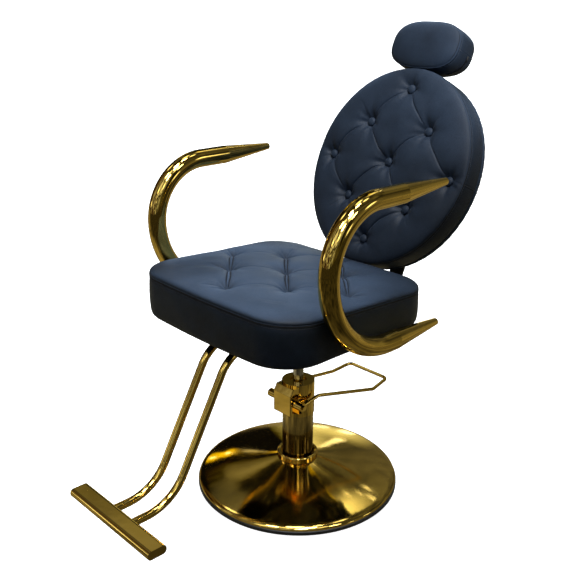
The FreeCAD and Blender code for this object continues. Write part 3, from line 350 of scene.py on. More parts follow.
def skin(rings):
    """Closed form from rings that run from one pole to the other; both ends are closed by a fan."""
    rings = np.asarray(rings)
    count, columns = rings.shape[:2]
    points = np.vstack([rings.reshape(-1, 3), rings[0].mean(0), rings[-1].mean(0)])
    return points, ring_faces(count, columns) + end_fans(count, columns)


def tube(path, radius, sides=8, closed=True, up=(0.0, 0.0, 1.0)):
    """A round cord along a path. The radius may be a number or one number a point."""
    if closed:
        along = unit(np.roll(path, -1, 0) - np.roll(path, 1, 0))
    else:
        along = unit(np.gradient(path, axis=0))
    side = unit(np.cross(along, up))
    points = circles(path, radius, side, np.cross(side, along), sides).reshape(-1, 3)
    faces = ring_faces(len(path), sides, closed)
    if not closed:
        points = np.vstack([points, path[0], path[-1]])
        faces += end_fans(len(path), sides)
    return points, faces


def merge(parts):
    """Several shapes as one."""
    points = []
    faces = []
    start = 0
    for some, quads in parts:
        points.append(some)
        faces.extend([tuple(index + start for index in face) for face in quads])
        start += len(some)
    return np.vstack(points), faces


def steps(path):
    """Distances from each point of a closed path to the next."""
    return np.linalg.norm(np.diff(np.vstack([path, path[:1]]), axis=0), axis=1)


def even(path, count):
    """A closed path again, with points at even distances."""
    run = np.concatenate([[0], np.cumsum(steps(path))])
    path = np.vstack([path, path[:1]])
    places = np.linspace(0, run[-1], count, endpoint=False)
    return np.stack([np.interp(places, run, path[:, axis]) for axis in range(path.shape[1])], 1)


def stitches(path, normals, length=3.4 * MM, gap=1.6 * MM, thick=0.42 * MM):
    """A row of short raised threads along a closed path."""
    count = int(steps(path).sum() / (length + gap))
    along = even(np.hstack([path, normals]), count)
    spots = along[:, :3]
    ups = unit(along[:, 3:])
    tangent = unit(np.roll(spots, -1, 0) - np.roll(spots, 1, 0))
    side = np.cross(tangent, ups)
    profile = ((-0.5, 0.35, -0.9), (-0.36, 0.9, 0.1), (0.0, 1.0, 0.45), (0.36, 0.9, 0.1), (0.5, 0.35, -0.9))
    sides = 6
    rings = []
    for share, wide, lift in profile:
        centres = spots + tangent * (share * length) + ups * (lift * thick * 0.5)
        rings.append(circles(centres, thick * wide, side, ups, sides))
    each = len(profile) * sides
    pattern = ring_faces(len(profile), sides)
    pattern += [tuple(range(sides)), tuple(range(each - 1, each - sides - 1, -1))]
    faces = [tuple(index + block * each for index in face) for block in range(count) for face in pattern]
    return np.stack(rings, 1).reshape(-1, 3), faces


# Tufted leather


def near_line(spots, first, last):
    """Share along a line, and signed distance from it, of many points in a plane."""
    first = np.asarray(first, float)
    last = np.asarray(last, float)
    span = last - first
    length = np.hypot(*span)
    along = span / length
    offset = spots - first
    share = offset @ along / length
    side = offset @ np.array([-along[1], along[0]])
    return share, side, length


class Tufting:
    """Height of a tufted cushion over its plane: dimples, pleats between them and folds to the edge."""

    def __init__(self, places, floor, dimple, spread, phase, flat, fine, wide, keen):
        self.places = np.asarray(places, float)
        self.floor = floor      # height of the leather at a tuft
        self.dimple = dimple    # reach of a tuft's steep inner hollow
        self.spread = spread    # reach of its gentle outer hollow
        self.phase = phase
        self.flat = flat        # radius of the level place under a button
        self.fine = fine        # width of a pleat's crease
        self.wide = wide        # width of its valley
        self.keen = keen        # share of a pleat's depth that is crease
        self.pleats = []
        self.hollows = []

    def pleat(self, first, last, at_ends, at_middle, double=0.0, fade=False, bow=0.0, lip=0.0):
        """A fold between two places. It may have two creases, fade out, bow sideways or have a raised lip."""
        self.pleats.append((first, last, at_ends, at_middle, double, fade, bow, lip))

    def hollow(self, first, last, depth, width):
        """A broad soft valley that widens from its first end."""
        self.hollows.append((first, last, depth, width))

    def sunk(self, spots):
        """Depth of the broad valleys."""
        total = np.zeros(len(spots))
        for first, last, depth, width in self.hollows:
            share, side, _ = near_line(spots, first, last)
            here = width * (0.35 + 0.65 * np.clip(share, 0, 1))
            ends = np.clip(share / 0.12 + 0.5, 0, 1) * np.clip((1.08 - share) / 0.2, 0, 1)
            total += depth * ends * np.exp(-(side / here) ** 2)
        return total

    def round_tufts(self, spots):
        """For each tuft its number, and the distance and the angle of all points from it."""
        for index, spot in enumerate(self.places):
            offset = spots - spot
            yield index, np.hypot(offset[:, 0], offset[:, 1]), np.arctan2(offset[:, 1], offset[:, 0])

    def pull(self, spots):
        """Share, 1 at a tuft and 0 far from it, by which the leather is drawn down."""
        rest = np.ones(len(spots))
        for index, distance, angle in self.round_tufts(spots):
            wobble = (1 + 0.10 * np.sin(3 * angle + self.phase * (index + 1))
                      + 0.07 * np.sin(7 * angle + index * 2.1))
            near = np.maximum(distance * wobble - self.flat, 0)
            share = (0.72 * np.exp(-(near / self.dimple) ** 1.35) + 0.28 * np.exp(-(near / self.spread) ** 2))
            rest *= 1 - share
        return 1 - rest

    def folds(self, spots):
        """Depth of the pleats, and the lift of the leather beside them."""
        sharp = np.zeros(len(spots))
        broad = np.zeros(len(spots))
        lift = np.zeros(len(spots))
        for index, (first, last, at_ends, at_middle, double, fade, bow, lip) in enumerate(self.pleats):
            share, side, length = near_line(spots, first, last)
            inside = np.clip(share, 0, 1)
            arch = np.sin(math.pi * inside)
            side = side - bow * arch + 0.9 * MM * np.sin(9 * inside + index * 1.7) * arch
            beyond = np.maximum(np.abs(share - 0.5) - 0.5, 0) * length
            keep = np.exp(-(beyond / (7 * MM)) ** 2)
            if fade:
                depth = at_ends * (1 - inside) ** 0.8 + at_middle * (1 - inside) * inside
            else:
                depth = at_ends + (at_middle - at_ends) * arch ** 0.7
            depth = depth * keep
            valley = np.exp(-(side / self.wide) ** 2)
            broad = (broad ** 4 + (depth * (1 - self.keen) * valley) ** 4) ** 0.25
            if double:
                apart = double * (0.25 + 0.75 * arch)
                crease = np.maximum(np.exp(-np.abs(side - apart) / self.fine),
                                    0.85 * np.exp(-np.abs(side + apart) / self.fine))
                lift = np.maximum(lift, 1.2 * MM * arch * keep * np.exp(-(side / (0.6 * apart + 1e-6)) ** 4))
            else:
                crease = np.exp(-np.abs(side) / self.fine)
            sharp = np.maximum(sharp, depth * self.keen * crease)
            if lip:
                beside = np.clip(side / (2.0 * MM), 0, 1) * np.exp(-np.maximum(side, 0) / (9 * MM))
                lift = np.maximum(lift, lip * beside * keep * arch ** 0.5)
        return sharp + broad, lift

    def ripples(self, spots):
        """Small gathers that run out of each tuft."""
        height = np.zeros(len(spots))
        for index, distance, angle in self.round_tufts(spots):
            wave = (np.sin(8 * angle + index * 1.3 + self.phase) + 0.6 * np.sin(13 * angle - index * 0.7)
                    + 0.5 * np.sin(5 * angle + index * 2.9))
            reach = np.clip(distance / (10 * MM), 0, 1) * np.exp(-(distance / (30 * MM)) ** 1.6)
            height += 0.42 * MM * wave * reach
        return height

    def heights(self, spots, crown):
        """Height of the leather at many points, from the crown that it would have without tufts."""
        share = self.pull(spots)
        depth, lift = self.folds(spots)
        level = crown * (1 - share) + self.floor * share
        return level + (1 - share) * (lift - depth - self.sunk(spots) + self.ripples(spots))


# The lines of tufts that pleats join, by the letters of their places
RISING = (("W", "b", "N"), ("d", "0", "a"), ("S", "c", "E"))
FALLING = (("W", "d", "S"), ("b", "0", "c"), ("N", "a", "E"))


def neighbours(lines):
    """Each two places that follow each other in the lines."""
    return [(line[k], line[k + 1]) for line in lines for k in (0, 1)]


def ray(degrees):
    """Unit vector at an angle in the plan."""
    return np.array([math.cos(math.radians(degrees)), math.sin(math.radians(degrees))])


def clouds(spots, scale, seed):
    """Smooth wandering unevenness between -1 and 1."""
    rng = np.random.default_rng(seed)
    total = np.zeros(len(spots))
    for _ in range(7):
        angle = rng.uniform(0, 2 * math.pi)
        phase = rng.uniform(0, 2 * math.pi)
        stretch = rng.uniform(0.6, 1.7)
        run = spots[:, 0] * math.cos(angle) + spots[:, 1] * math.sin(angle)
        total += np.sin(run / scale * stretch * 2 * math.pi + phase)
    return total / 4.0


# Back cushion

TILT = math.radians(23.95)
BACK_CENTRE = np.array([0.0, 0.3115, 0.7914])
UP = np.array([0.0, math.sin(TILT), math.cos(TILT)])
OUT = np.array([0.0, -math.cos(TILT), math.sin(TILT)])
ACROSS = np.array([1.0, 0.0, 0.0])
BACK_HALF_WIDTH = 0.240
BACK_RISE = 0.254
BACK_DROP = 0.265
BACK_DEPTH = 76 * MM
# Places of the buttons, across and up from the middle, in millimetres
BUTTONS = {"0": (2.0, 6.0), "E": (198.0, -13.0), "W": (-188.0, 1.0), "N": (1.5, 200.0), "S": (-0.5, -201.0),
           "a": (95.0, 98.0), "b": (-94.0, 103.0), "c": (99.0, -103.5), "d": (-96.0, -98.5)}
TUFTS = {place: np.array(spot) * MM for place, spot in BUTTONS.items()}
# Angles of the two seams that join the halves of a side band
BAND_SEAMS = (-0.052, math.pi)


def in_back(points):
    """Points drawn (across, up, out) to the tilted plane of the back."""
    points = np.asarray(points, float)
    return BACK_CENTRE + points[..., 0:1] * ACROSS + points[..., 1:2] * UP + points[..., 2:3] * OUT


def back_plan(turn, swell=0.0, share=1.0):
    """Outline of the back, a little fuller below its middle."""
    high = np.where(np.sin(turn) < 0, BACK_DROP, BACK_RISE)
    return np.column_stack([np.cos(turn) * (BACK_HALF_WIDTH + swell) * share,
                            np.sin(turn) * (high + swell) * share])


def edge_line(name, plan, depth, radius, material, body, sides=8):
    """A round line along a closed outline, at a depth of the back's plane."""
    build(name, tube(in_back(at(plan, depth)), radius, sides, up=OUT), material, body)


def build_across(name, spots, depth, body):
    """Sewn joins that run across a side band at the given spots of its outline."""
    parts = []
    reach = np.linspace(-3.5, depth, 14)
    for across, up in spots:
        bulge = 1.0 + 0.9 * MM / abs(across) * np.sin((reach + 3.5) / (depth + 3.5) * math.pi)
        path = np.column_stack([across * bulge, np.full(len(reach), up), reach * MM])
        parts.append(tube(in_back(path), 0.75 * MM, closed=False))
    build(name, merge(parts), thread, body)


def band_seam(turn):
    """Depth of the seams that join the halves of a side band."""
    depth = np.zeros(len(turn))
    for place in BAND_SEAMS:
        away = np.abs(np.angle(np.exp(1j * (turn - place))))
        depth += 1.7 * MM * np.exp(-(away / 0.0055) ** 2) - 0.5 * MM * np.exp(-((away - 0.022) / 0.012) ** 2)
    return depth


def back_tufting():
    """The back's tufts, the pleats between them and the folds outside them."""
    tufting = Tufting(list(TUFTS.values()), floor=-4.0 * MM, dimple=14.0 * MM, spread=50.0 * MM, phase=1.1,
                      flat=9.0 * MM, fine=2.1 * MM, wide=12.0 * MM, keen=0.66)
    for first, last in neighbours(RISING):
        tufting.pleat(TUFTS[first], TUFTS[last], 7.5 * MM, 6.5 * MM, bow=9 * MM, lip=1.2 * MM)
    for first, last in neighbours(FALLING):
        tufting.pleat(TUFTS[first], TUFTS[last], 6.5 * MM, 5.2 * MM, bow=-2 * MM, lip=1.6 * MM)
    outer = (("N", 78, 40), ("N", 118, 42), ("N", 150, 34), ("E", -2, 52), ("E", -24, 38), ("W", 172, 36),
             ("W", 205, 40), ("S", -84, 40), ("S", -112, 42), ("S", -62, 36), ("a", 52, 62), ("b", 130, 66),
             ("c", -52, 60), ("c", -84, 44), ("d", -128, 62))
    for place, degrees, reach in outer:
        tufting.pleat(TUFTS[place], TUFTS[place] + ray(degrees) * reach * MM, 4.5 * MM, 2.0 * MM, fade=True)
    return tufting


def back_cushion():
    """Round buttoned pad: front panel, edge cord, side band and the turned-in rear edge."""
    crown = 0.025
    turn = around(720)
    tufting = back_tufting()
    rows = []
    for share in 1 - (1 - np.linspace(0.006, 0.9985, 172)) ** 1.15:
        spots = back_plan(turn, 0.0, share)
        level = crown * (1 - share ** 3) ** 0.42 + 0.6 * MM * clouds(spots, 0.11, 3) * (1 - share ** 6)
        lowest = -7 * MM * (1 - share ** 8) - 0.4 * MM
        rows.append(at(spots, np.maximum(tufting.heights(spots, level), lowest)))
    gather = 0.25 * MM * np.sin(turn * 90 + 1.3 * np.sin(turn * 7))
    for depth, swell in ((0.0, -1.6), (-1.6, -2.6), (-4.0, -1.2), (-8.0, 0.0), (-14.0, 0.8), (-22.0, 1.3),
                         (-31.0, 1.4), (-40.0, 1.1), (-49.0, 0.5), (-55.0, -0.4), (-58.4, -1.8),
                         (-60.0, -3.8), (-60.0, -9.0), (-60.0, -40.0)):
        bulge = swell * MM + (gather if -9 < depth < -1 else 0.0)
        if -58 < depth < -2:
            bulge = bulge + 0.45 * MM * np.sin(turn * 5 + depth * 0.06) - band_seam(turn)
        rows.append(at(back_plan(turn, bulge), depth * MM))
    pad = build("back_pad", skin([in_back(row) for row in rows]), paint["leather"], "back")
    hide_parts("back_cushion", "back_foam")
    cord = back_plan(turn, -0.8 * MM)
    edge_line("back_edge_cord", cord, 0.3 * MM, 1.4 * MM, paint["leather"], "back", 10)
    # Two near-black lines beside the edge cord: painted shade in the seam's grooves.
    for swell, depth, thick in ((-3.0, 2.6, 0.8), (-0.7, -2.2, 1.0)):
        edge_line("back_painted_seam_shade_%d" % (thick * 10), back_plan(turn, swell * MM), depth * MM, thick * MM,
                  painted_shade_and_zip_black, "back")
    normals = unit(back_plan(turn) / np.array([BACK_HALF_WIDTH, BACK_RISE]) ** 2)
    normals = normals[:, :1] * ACROSS + normals[:, 1:] * UP
    line = in_back(at(back_plan(turn, 0.4 * MM), -6.0 * MM))
    build("back_edge_stitches", stitches(line, normals), thread, "back", smooth=False)
    build_across("back_band_seams", back_plan(np.array(BAND_SEAMS), 0.3 * MM), -56.0, "back")


def back_buttons():
    """Nine covered buttons with a turned edge, each a little different."""
    parts = []
    turn = around(48)
    for index, (across, up) in enumerate(TUFTS.values()):
        lean = chance.uniform(-0.05, 0.05, 2)
        rings = []
        for radius, height in ((10.6, 0.0), (11.4, 1.0), (11.6, 2.2), (11.1, 3.5), (9.7, 5.0), (7.4, 6.3),
                               (4.6, 7.2), (1.6, 7.5)):
            crimp = 1 + 0.010 * np.cos(turn * 11 + index) * (height < 4)
            plan = np.column_stack([radius * MM * crimp * np.cos(turn), radius * MM * crimp * np.sin(turn)])
            rings.append(at(plan, height * MM + plan @ lean) + np.array([across, up, -2.6 * MM]))
        points, faces = skin(rings[::-1])
        parts.append((in_back(points), faces))
    buttons = build("back_covered_buttons", merge(parts), paint["leather"], "back")
    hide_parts("back_buttons")


def rear_cover():
    """Padded rear cover of the back, with a cord along its edge."""
    turn = around(420)
    rows = []
    for depth, inset in ((-60.0, -40.0), (-60.0, -4.0), (-60.6, -1.2), (-62.2, -0.2), (-65.5, 0.0),
                         (-69.5, -0.8), (-72.6, -2.6), (-74.8, -5.4), (-75.8, -9.0), (-76.0, -15.0)):
        pucker = 0.3 * MM * np.sin(turn * 64 + 2 * np.sin(turn * 5)) * (-73 < depth < -61)
        rows.append(at(back_plan(turn, inset * MM + pucker), depth * MM))
    for share in np.linspace(0.93, 0.01, 60):
        spots = back_plan(turn, 0.0, share)
        unevenness = 0.25 * MM * clouds(spots, 0.16, 11) * (1 - share)
        rows.append(at(spots, np.maximum(unevenness, -0.2 * MM) - BACK_DEPTH))
    cover = build("back_rear_panel", skin([in_back(row) for row in rows]), paint["leather"], "back")
    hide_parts("back_rear_cover")
    cord = back_plan(turn, -1.2 * MM)
    edge_line("back_rear_cord", cord, -60.4 * MM, 1.7 * MM, paint["leather"], "back", 10)


back_cushion()
back_buttons()
rear_cover()

# Seat cushion

# Half its width, its front and rear, the radius of its corners, the bow of its front, the heights of its
# underside and its welt, its crown and how far in that reaches, the slope of its top, its diamond of tufts

SEAT = {"half": 0.266, "front": -0.2955, "rear": 0.187, "corner": 0.0955, "bow": 0.0107, "low": 0.476,
        "welt": 0.565, "crown": 0.0245, "reach": 0.212, "lean": 0.0507, "tufts_middle": -0.044,
        "tufts_across": 0.199, "tufts_along": 0.183}
SEAT_MIDDLE = (SEAT["front"] + SEAT["rear"]) / 2
SEAT_COLUMNS = 840
SEAT_TUFTS = {place: np.array([across * SEAT["tufts_across"],
                               SEAT["tufts_middle"] + along * SEAT["tufts_along"]])
              for place, across, along in (("0", 0, 0), ("E", 1, 0), ("W", -1, 0), ("N", 0, 1), ("S", 0, -1),
                                           ("a", 0.5, 0.5), ("b", -0.5, 0.5), ("c", 0.5, -0.5),
                                           ("d", -0.5, -0.5))}
# Falling pleats of the seat, each with the distance of its two creases from its middle
DOUBLES = [(SEAT_TUFTS[first], SEAT_TUFTS[last], apart * MM)
           for line, apart in zip(FALLING, (4.4, 4.0, 4.2)) for first, last in neighbours([line])]


def seat_ring(inset, count=SEAT_COLUMNS):
    """Plan of the seat as evenly spaced points, drawn in by an inset, its front bowed."""
    half = SEAT["half"] - inset
    front = SEAT["front"] + inset
    rear = SEAT["rear"] - inset
    corner = max(SEAT["corner"] - inset / 2, 8 * MM)
    path = []
    for x, y, start in ((half - corner, rear - corner, 0), (corner - half, rear - corner, 90),
                        (corner - half, front + corner, 180), (half - corner, front + corner, 270)):
        angle = np.radians(start + np.linspace(0, 90, 60))
        path.append(np.column_stack([x + corner * np.cos(angle), y + corner * np.sin(angle)]))
    path = even(np.vstack(path), 4 * count)
    path[:, 1] -= front_bow(path, half) * (path[:, 1] < front + corner)
    return even(path, count)


def front_bow(spots, half):
    """How far the front edge swings forward at each place across the seat."""
    return SEAT["bow"] * np.sin(np.clip((half - np.abs(spots[:, 0])) / half, 0, 1) * math.pi / 2)


def edge_distance(spots):
    """How far inside the seat's outline each point lies."""
    bowed = spots.copy()
    low = SEAT["front"] + SEAT["corner"]
    bowed[:, 1] += front_bow(spots, SEAT["half"]) * np.clip((low - spots[:, 1]) / SEAT["corner"], 0, 1)
    centre = np.array([0.0, SEAT_MIDDLE])
    half = np.array([SEAT["half"], (SEAT["rear"] - SEAT["front"]) / 2]) - SEAT["corner"]
    over = np.abs(bowed - centre) - half
    outside = np.hypot(np.maximum(over[:, 0], 0), np.maximum(over[:, 1], 0))
    return SEAT["corner"] - outside - np.minimum(np.maximum(over[:, 0], over[:, 1]), 0)


def seat_level(plan, share):
    """Heights of plan points at a share of the way from the seat's underside to its leaning welt."""
    return SEAT["low"] + share * (SEAT["welt"] - SEAT["low"] + SEAT["lean"] * (SEAT_MIDDLE - plan[:, 1]))


def seat_top(tufting, here):
    """Heights of the seat's top panel."""
    inside = np.clip(edge_distance(here) / SEAT["reach"], 0, 1)
    level = SEAT["crown"] * (1 - (1 - inside) ** 2.75) ** 0.3636
    level = level + 0.8 * MM * clouds(here, 0.13, 5) * np.clip(inside * 5, 0, 1)
    height = np.maximum(tufting.heights(here, level), -1.5 * MM * np.clip(inside * 8, 0, 1) - 0.3 * MM)
    return seat_level(here, 1.0) + height


def seat_tufting():
    """The seat's tufts, the pleats between them, and the folds and valleys outside them."""
    tufting = Tufting(list(SEAT_TUFTS.values()), floor=1.0 * MM, dimple=12.0 * MM, spread=36.0 * MM, phase=0.4,
                      flat=0.0, fine=1.9 * MM, wide=13.0 * MM, keen=0.72)
    for first, last in neighbours(RISING):
        tufting.pleat(SEAT_TUFTS[first], SEAT_TUFTS[last], 6.5 * MM, 1.5 * MM, bow=6 * MM, lip=0.4 * MM)
    for first, last, apart in DOUBLES:
        tufting.pleat(first, last, 12.0 * MM, 9.5 * MM, double=apart)
    outer = (("W", 160, 50), ("W", 128, 45), ("d", 205, 60), ("S", 262, 45), ("S", 226, 60), ("S", 310, 45),
             ("c", 305, 60), ("c", 338, 50), ("E", -8, 45), ("E", 30, 45), ("a", 38, 60), ("N", 70, 35),
             ("N", 126, 40), ("b", 118, 60), ("b", 150, 50))
    for place, degrees, reach in outer:
        start = SEAT_TUFTS[place]
        tufting.pleat(start, start + ray(degrees) * reach * MM, 6.0 * MM, 3.0 * MM, fade=True)
    for place, degrees, reach, depth, width in (("d", 224, 150, 3.4, 30), ("W", 178, 60, 1.6, 24),
                                                ("c", 300, 110, 2.0, 28), ("E", 350, 60, 1.6, 24),
                                                ("b", 112, 100, 1.6, 26), ("a", 60, 100, 1.6, 26)):
        start = SEAT_TUFTS[place]
        tufting.hollow(start, start + ray(degrees) * reach * MM, depth * MM, width * MM)
    return tufting


def painted_crease_shade(tufting):
    """Near-black tubes along the bottom of the double pleats between the seat's tufts: painted shade in the
    creases.
    """
    parts = []
    share = np.linspace(0.10, 0.90, 40)
    radius = MM * np.clip(1.25 * np.sin(math.pi * (share - 0.06) / 0.88) ** 0.5, 0.3, None)
    for first, last, apart in DOUBLES:
        span = last - first
        across = np.array([-span[1], span[0]]) / np.hypot(*span)
        for way in (1, -1):
            side = way * apart * (0.25 + 0.75 * np.sin(math.pi * share))
            here = first + share[:, None] * span + side[:, None] * across
            parts.append(tube(at(here, seat_top(tufting, here) + 1.9 * MM), radius, closed=False))
    build("seat_painted_crease_shade", merge(parts), painted_shade_and_zip_black, "seat")


def seat_cushion():
    """Tufted seat: domed top panel, edge cord, tall side band rolled under at the bottom."""
    tufting = seat_tufting()
    outline = seat_ring(0.0)
    middle = np.array([0.0, SEAT_MIDDLE])
    rows = []
    for share in 1 - (1 - np.linspace(0.006, 0.9985, 200)) ** 1.10:
        here = middle + (outline - middle) * share
        rows.append(at(here, seat_top(tufting, here)))
    painted_crease_shade(tufting)
    turn = around(SEAT_COLUMNS)
    for share, inset in ((0.986, 1.8), (0.965, 2.6), (0.935, 1.2), (0.89, 0.1), (0.81, -0.6), (0.70, -1.0),
                         (0.57, -1.2), (0.44, -1.1), (0.31, -0.8), (0.20, -0.3), (0.125, 0.2), (0.075, 0.9),
                         (0.040, 2.1), (0.014, 4.2), (0.002, 7.0), (0.0, 12.0), (0.0, 60.0)):
        path = seat_ring(inset * MM)
        if 0.1 < share < 0.97:
            wave = 0.30 * MM * np.sin(turn * 11 + share * 4) + 0.18 * MM * np.sin(turn * 23 + share * 9)
            path = path + unit(path - middle) * wave[:, None]
        rows.append(at(path, seat_level(path, share)))
    pad = build("seat_pad", skin(rows), paint["leather"], "seat")
    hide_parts("seat_cushion", "seat_foam")
    cord = seat_ring(0.9 * MM)
    build("seat_edge_cord", tube(at(cord, seat_level(cord, 0.994)), 1.3 * MM, 10), paint["leather"], "seat")
    # Two near-black lines beside the edge cord: painted shade in the seam's grooves.
    for inset, share, thick in ((3.4, 1.022, 0.7), (0.9, 0.970, 1.0)):
        seam = seat_ring(inset * MM)
        shape = tube(at(seam, seat_level(seam, share)), thick * MM)
        build("seat_painted_seam_shade_%d" % (thick * 10), shape, painted_shade_and_zip_black, "seat")
    line = seat_ring(0.2 * MM)
    outward = line - np.roll(line, 1, 0)
    outward = np.column_stack([outward[:, 1], -outward[:, 0], np.zeros(len(line))])
    shape = stitches(at(line, seat_level(line, 0.925)), outward)
    build("seat_edge_stitches", shape, thread, "seat", smooth=False)


seat_cushion()

# Headrest

HEAD_MIDDLE = np.array([0.0, 0.318])
HEAD_HALF = np.array([0.105, 0.0612])


def head_ring(swell=0.0, share=1.0):
    """Outline of the headrest, a rounded oval, as evenly spaced points."""
    turn = around(720)
    circle = np.column_stack([np.cos(turn), np.sin(turn)])
    oval = np.sign(circle) * np.abs(circle) ** (2 / 2.75)
    return even(HEAD_MIDDLE + oval * (HEAD_HALF + swell) * share, 480)


def headrest():
    """Oval headrest pillow: crowned front panel with a seam round it, side band with its seams."""
    crown = 0.018
    rows = []
    for share in 1 - (1 - np.linspace(0.01, 0.999, 60)) ** 1.25:
        ring = head_ring(-1.4 * MM, share)
        level = crown * (1 - share ** 2.3) ** 0.55 - 0.4 * MM
        rows.append(at(ring, level + 0.35 * MM * clouds(ring, 0.06, 21) * (1 - share)))
    for depth, swell in ((-1.8, -2.4), (-4.0, -1.2), (-8.0, 0.1), (-16.0, 1.0), (-26.0, 1.5), (-38.0, 1.6),
                         (-50.0, 1.2), (-60.0, 0.4), (-66.0, -0.8), (-70.5, -2.8), (-73.6, -5.4),
                         (-75.4, -8.8), (-76.0, -13.0)):
        ring = head_ring(swell * MM)
        if -70 < depth < -2:
            ring = ring - unit(ring - HEAD_MIDDLE) * band_seam(around(len(ring)))[:, None]
        rows.append(at(ring, depth * MM))
    for share in (0.7, 0.4, 0.1):
        rows.append(at(head_ring(0.0, share), -76.0 * MM))
    pad = build("headrest_pad", skin([in_back(row) for row in rows]), paint["leather"], "headrest")
    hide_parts("headrest_cushion", "headrest_foam")
    # Two near-black lines beside the edge cord: painted shade in the seam's grooves.
    for inset, depth, thick in ((3.6, 2.4, 0.8), (1.9, -3.0, 1.1)):
        edge_line("headrest_painted_seam_shade_%d" % (thick * 10), head_ring(-inset * MM), depth * MM, thick * MM,
                  painted_shade_and_zip_black, "headrest")
    line = head_ring()
    away = (line - HEAD_MIDDLE) / HEAD_HALF
    away = away[:, :1] * ACROSS + away[:, 1:] * UP
    shape = stitches(in_back(at(line, -6.5 * MM)), away)
    build("headrest_edge_stitches", shape, thread, "headrest", smooth=False)
    cord = head_ring(-1.0 * MM)
    edge_line("headrest_edge_cord", cord, -0.6 * MM, 1.4 * MM, paint["leather"], "headrest", 10)
    ends = HEAD_MIDDLE + np.array([[HEAD_HALF[0], -6.5 * MM], [-HEAD_HALF[0], -6.5 * MM]])
    build_across("headrest_band_seams", ends, -68.0, "headrest")
    zip_line(head_ring(1.7 * MM))


def zip_line(ring):
    """Short zip along the lower right part of the headrest's band, with its slider and pull at the top."""
    away = ring - HEAD_MIDDLE
    path = at(ring[(away[:, 0] > 0.060) & (away[:, 1] < -0.010)], -44.0 * MM)
    rows = [tube(in_back(path + np.array([0, 0, shift * MM])), 0.9 * MM, closed=False, up=OUT)
            for shift in (-1.3, 1.3)]
    build("headrest_zip", merge(rows), painted_shade_and_zip_black, "headrest")
    top = path[np.argmax(path[:, 1])]
    slider = top + np.array([(0.8, 3.0, 0.0), (0.8, 1.5, 0.0), (0.8, -1.5, 0.0), (0.8, -4.0, 0.0)]) * MM
    pull = top + np.array([(2.4, 0.0, 0.0), (2.4, -4.0, 1.0), (2.4, -9.0, 2.0)]) * MM
    parts = [tube(in_back(slider), np.array([1.2, 2.0, 2.0, 1.2]) * MM, 10, closed=False, up=OUT),
             tube(in_back(pull), np.array([0.8, 1.3, 1.5]) * MM, 10, closed=False, up=OUT)]
    build("headrest_zip_pull", merge(parts), paint["black_steel"], "headrest")


headrest()

# Floor, light and camera


def plane(name, height, material, reach=40.0):
    """A wide level floor that only the pictures show."""
    mesh = bpy.data.meshes.new(name)
    corners = [(x * reach, y * reach, height) for x, y in ((-1, -1), (1, -1), (1, 1), (-1, 1))]
    mesh.from_pydata(corners, [], [(0, 1, 2, 3)])
    mesh.materials.append(material)
    ground = bpy.data.objects.new(name, mesh)
    scene.collection.objects.link(ground)
    ground.visible_diffuse = False
    return ground


def glow(name, base, strength):
    """A dull material that gives off white light."""
    material, tree, shader = new_material(name)
    shader.inputs["Base Color"].default_value = (base, base, base, 1.0)
    shader.inputs["Roughness"].default_value = 0.9
    shader.inputs["Specular IOR Level"].default_value = 0.0
    shader.inputs["Emission Color"].default_value = (1.0, 1.0, 1.0, 1.0)
    shader.inputs["Emission Strength"].default_value = strength
    return material, tree, shader


def warm_floor():
    """What the gloss sees of the floor: warm and bright at the far side, dark and streaky in front."""
    material, tree, shader = glow("warm_floor", 0.0, 0.40)
    parts = tree.nodes.new("ShaderNodeSeparateXYZ")
    tree.links.new(place(tree), parts.inputs[0])
    across = maths(tree, "SUBTRACT", parts.outputs["Y"], parts.outputs["X"])
    streak = remap(tree, noise(tree, 2.6, 4.0, 0.65), 0.40, 0.62, 0.35, 1.5)
    gap = vector_maths(tree, "DISTANCE", place(tree), (-0.55, -0.62, 0.0))
    level = maths(tree, "ADD", remap(tree, across, -0.9, 0.7, 0.10, 0.75),
                  remap(tree, gap, 0.20, 0.75, 0.72, 0.0))
    light = blend_colours(tree, maths(tree, "MULTIPLY", level, streak), (0.0, 0.0, 0.0), (1.0, 0.86, 0.50))
    tree.links.new(light, shader.inputs["Emission Color"])
    return material


plane("floor", 0.0, glow("pale_floor", 0.5, 0.95)[0]).visible_glossy = False
sheen_floor = plane("floor_in_gloss", -0.002, warm_floor())
sheen_floor.visible_camera = False
sheen_floor.visible_shadow = False


def aim(turn, rise):
    """Direction with a compass turn from +Y towards +X and a rise, in degrees."""
    turn, rise = math.radians(turn), math.radians(rise)
    return Vector((math.sin(turn) * math.cos(rise), math.cos(turn) * math.cos(rise), math.sin(rise)))


def window(tree, value, low, high, soft):
    """1 between two values and 0 outside them, with soft ends."""
    enter = remap(tree, value, low - soft, low + soft)
    leave = remap(tree, value, high - soft, high + soft, 1.0, 0.0)
    return maths(tree, "MULTIPLY", enter, leave)


# Panels of the room: compass turn from and to, rise from and to, softness, light
PANELS = ((-200, -95, -10, 60, 9, (-0.030, -0.050, -0.055)), (-96, -48, -4, 34, 6, (-0.12, -0.12, -0.115)),
          (85, 180, -10, 40, 12, (-0.06, -0.06, -0.06)), (-140, -60, 62, 90, 8, (-0.06, -0.06, -0.06)),
          (-112, -70, 40, 62, 5, (0.05, 0.05, 0.05)), (-35, 5, 18, 46, 6, (0.03, 0.03, 0.035)),
          (-66, -30, 40, 58, 3, (-0.16, -0.16, -0.16)),
          (-24, -8, 50, 62, 6, (1.9, 1.8, 1.3)), (-47, -33, -12, 14, 4, (1.1, 1.05, 0.55)),
          (10, 70, -20, 20, 8, (0.08, 0.07, 0.04)))
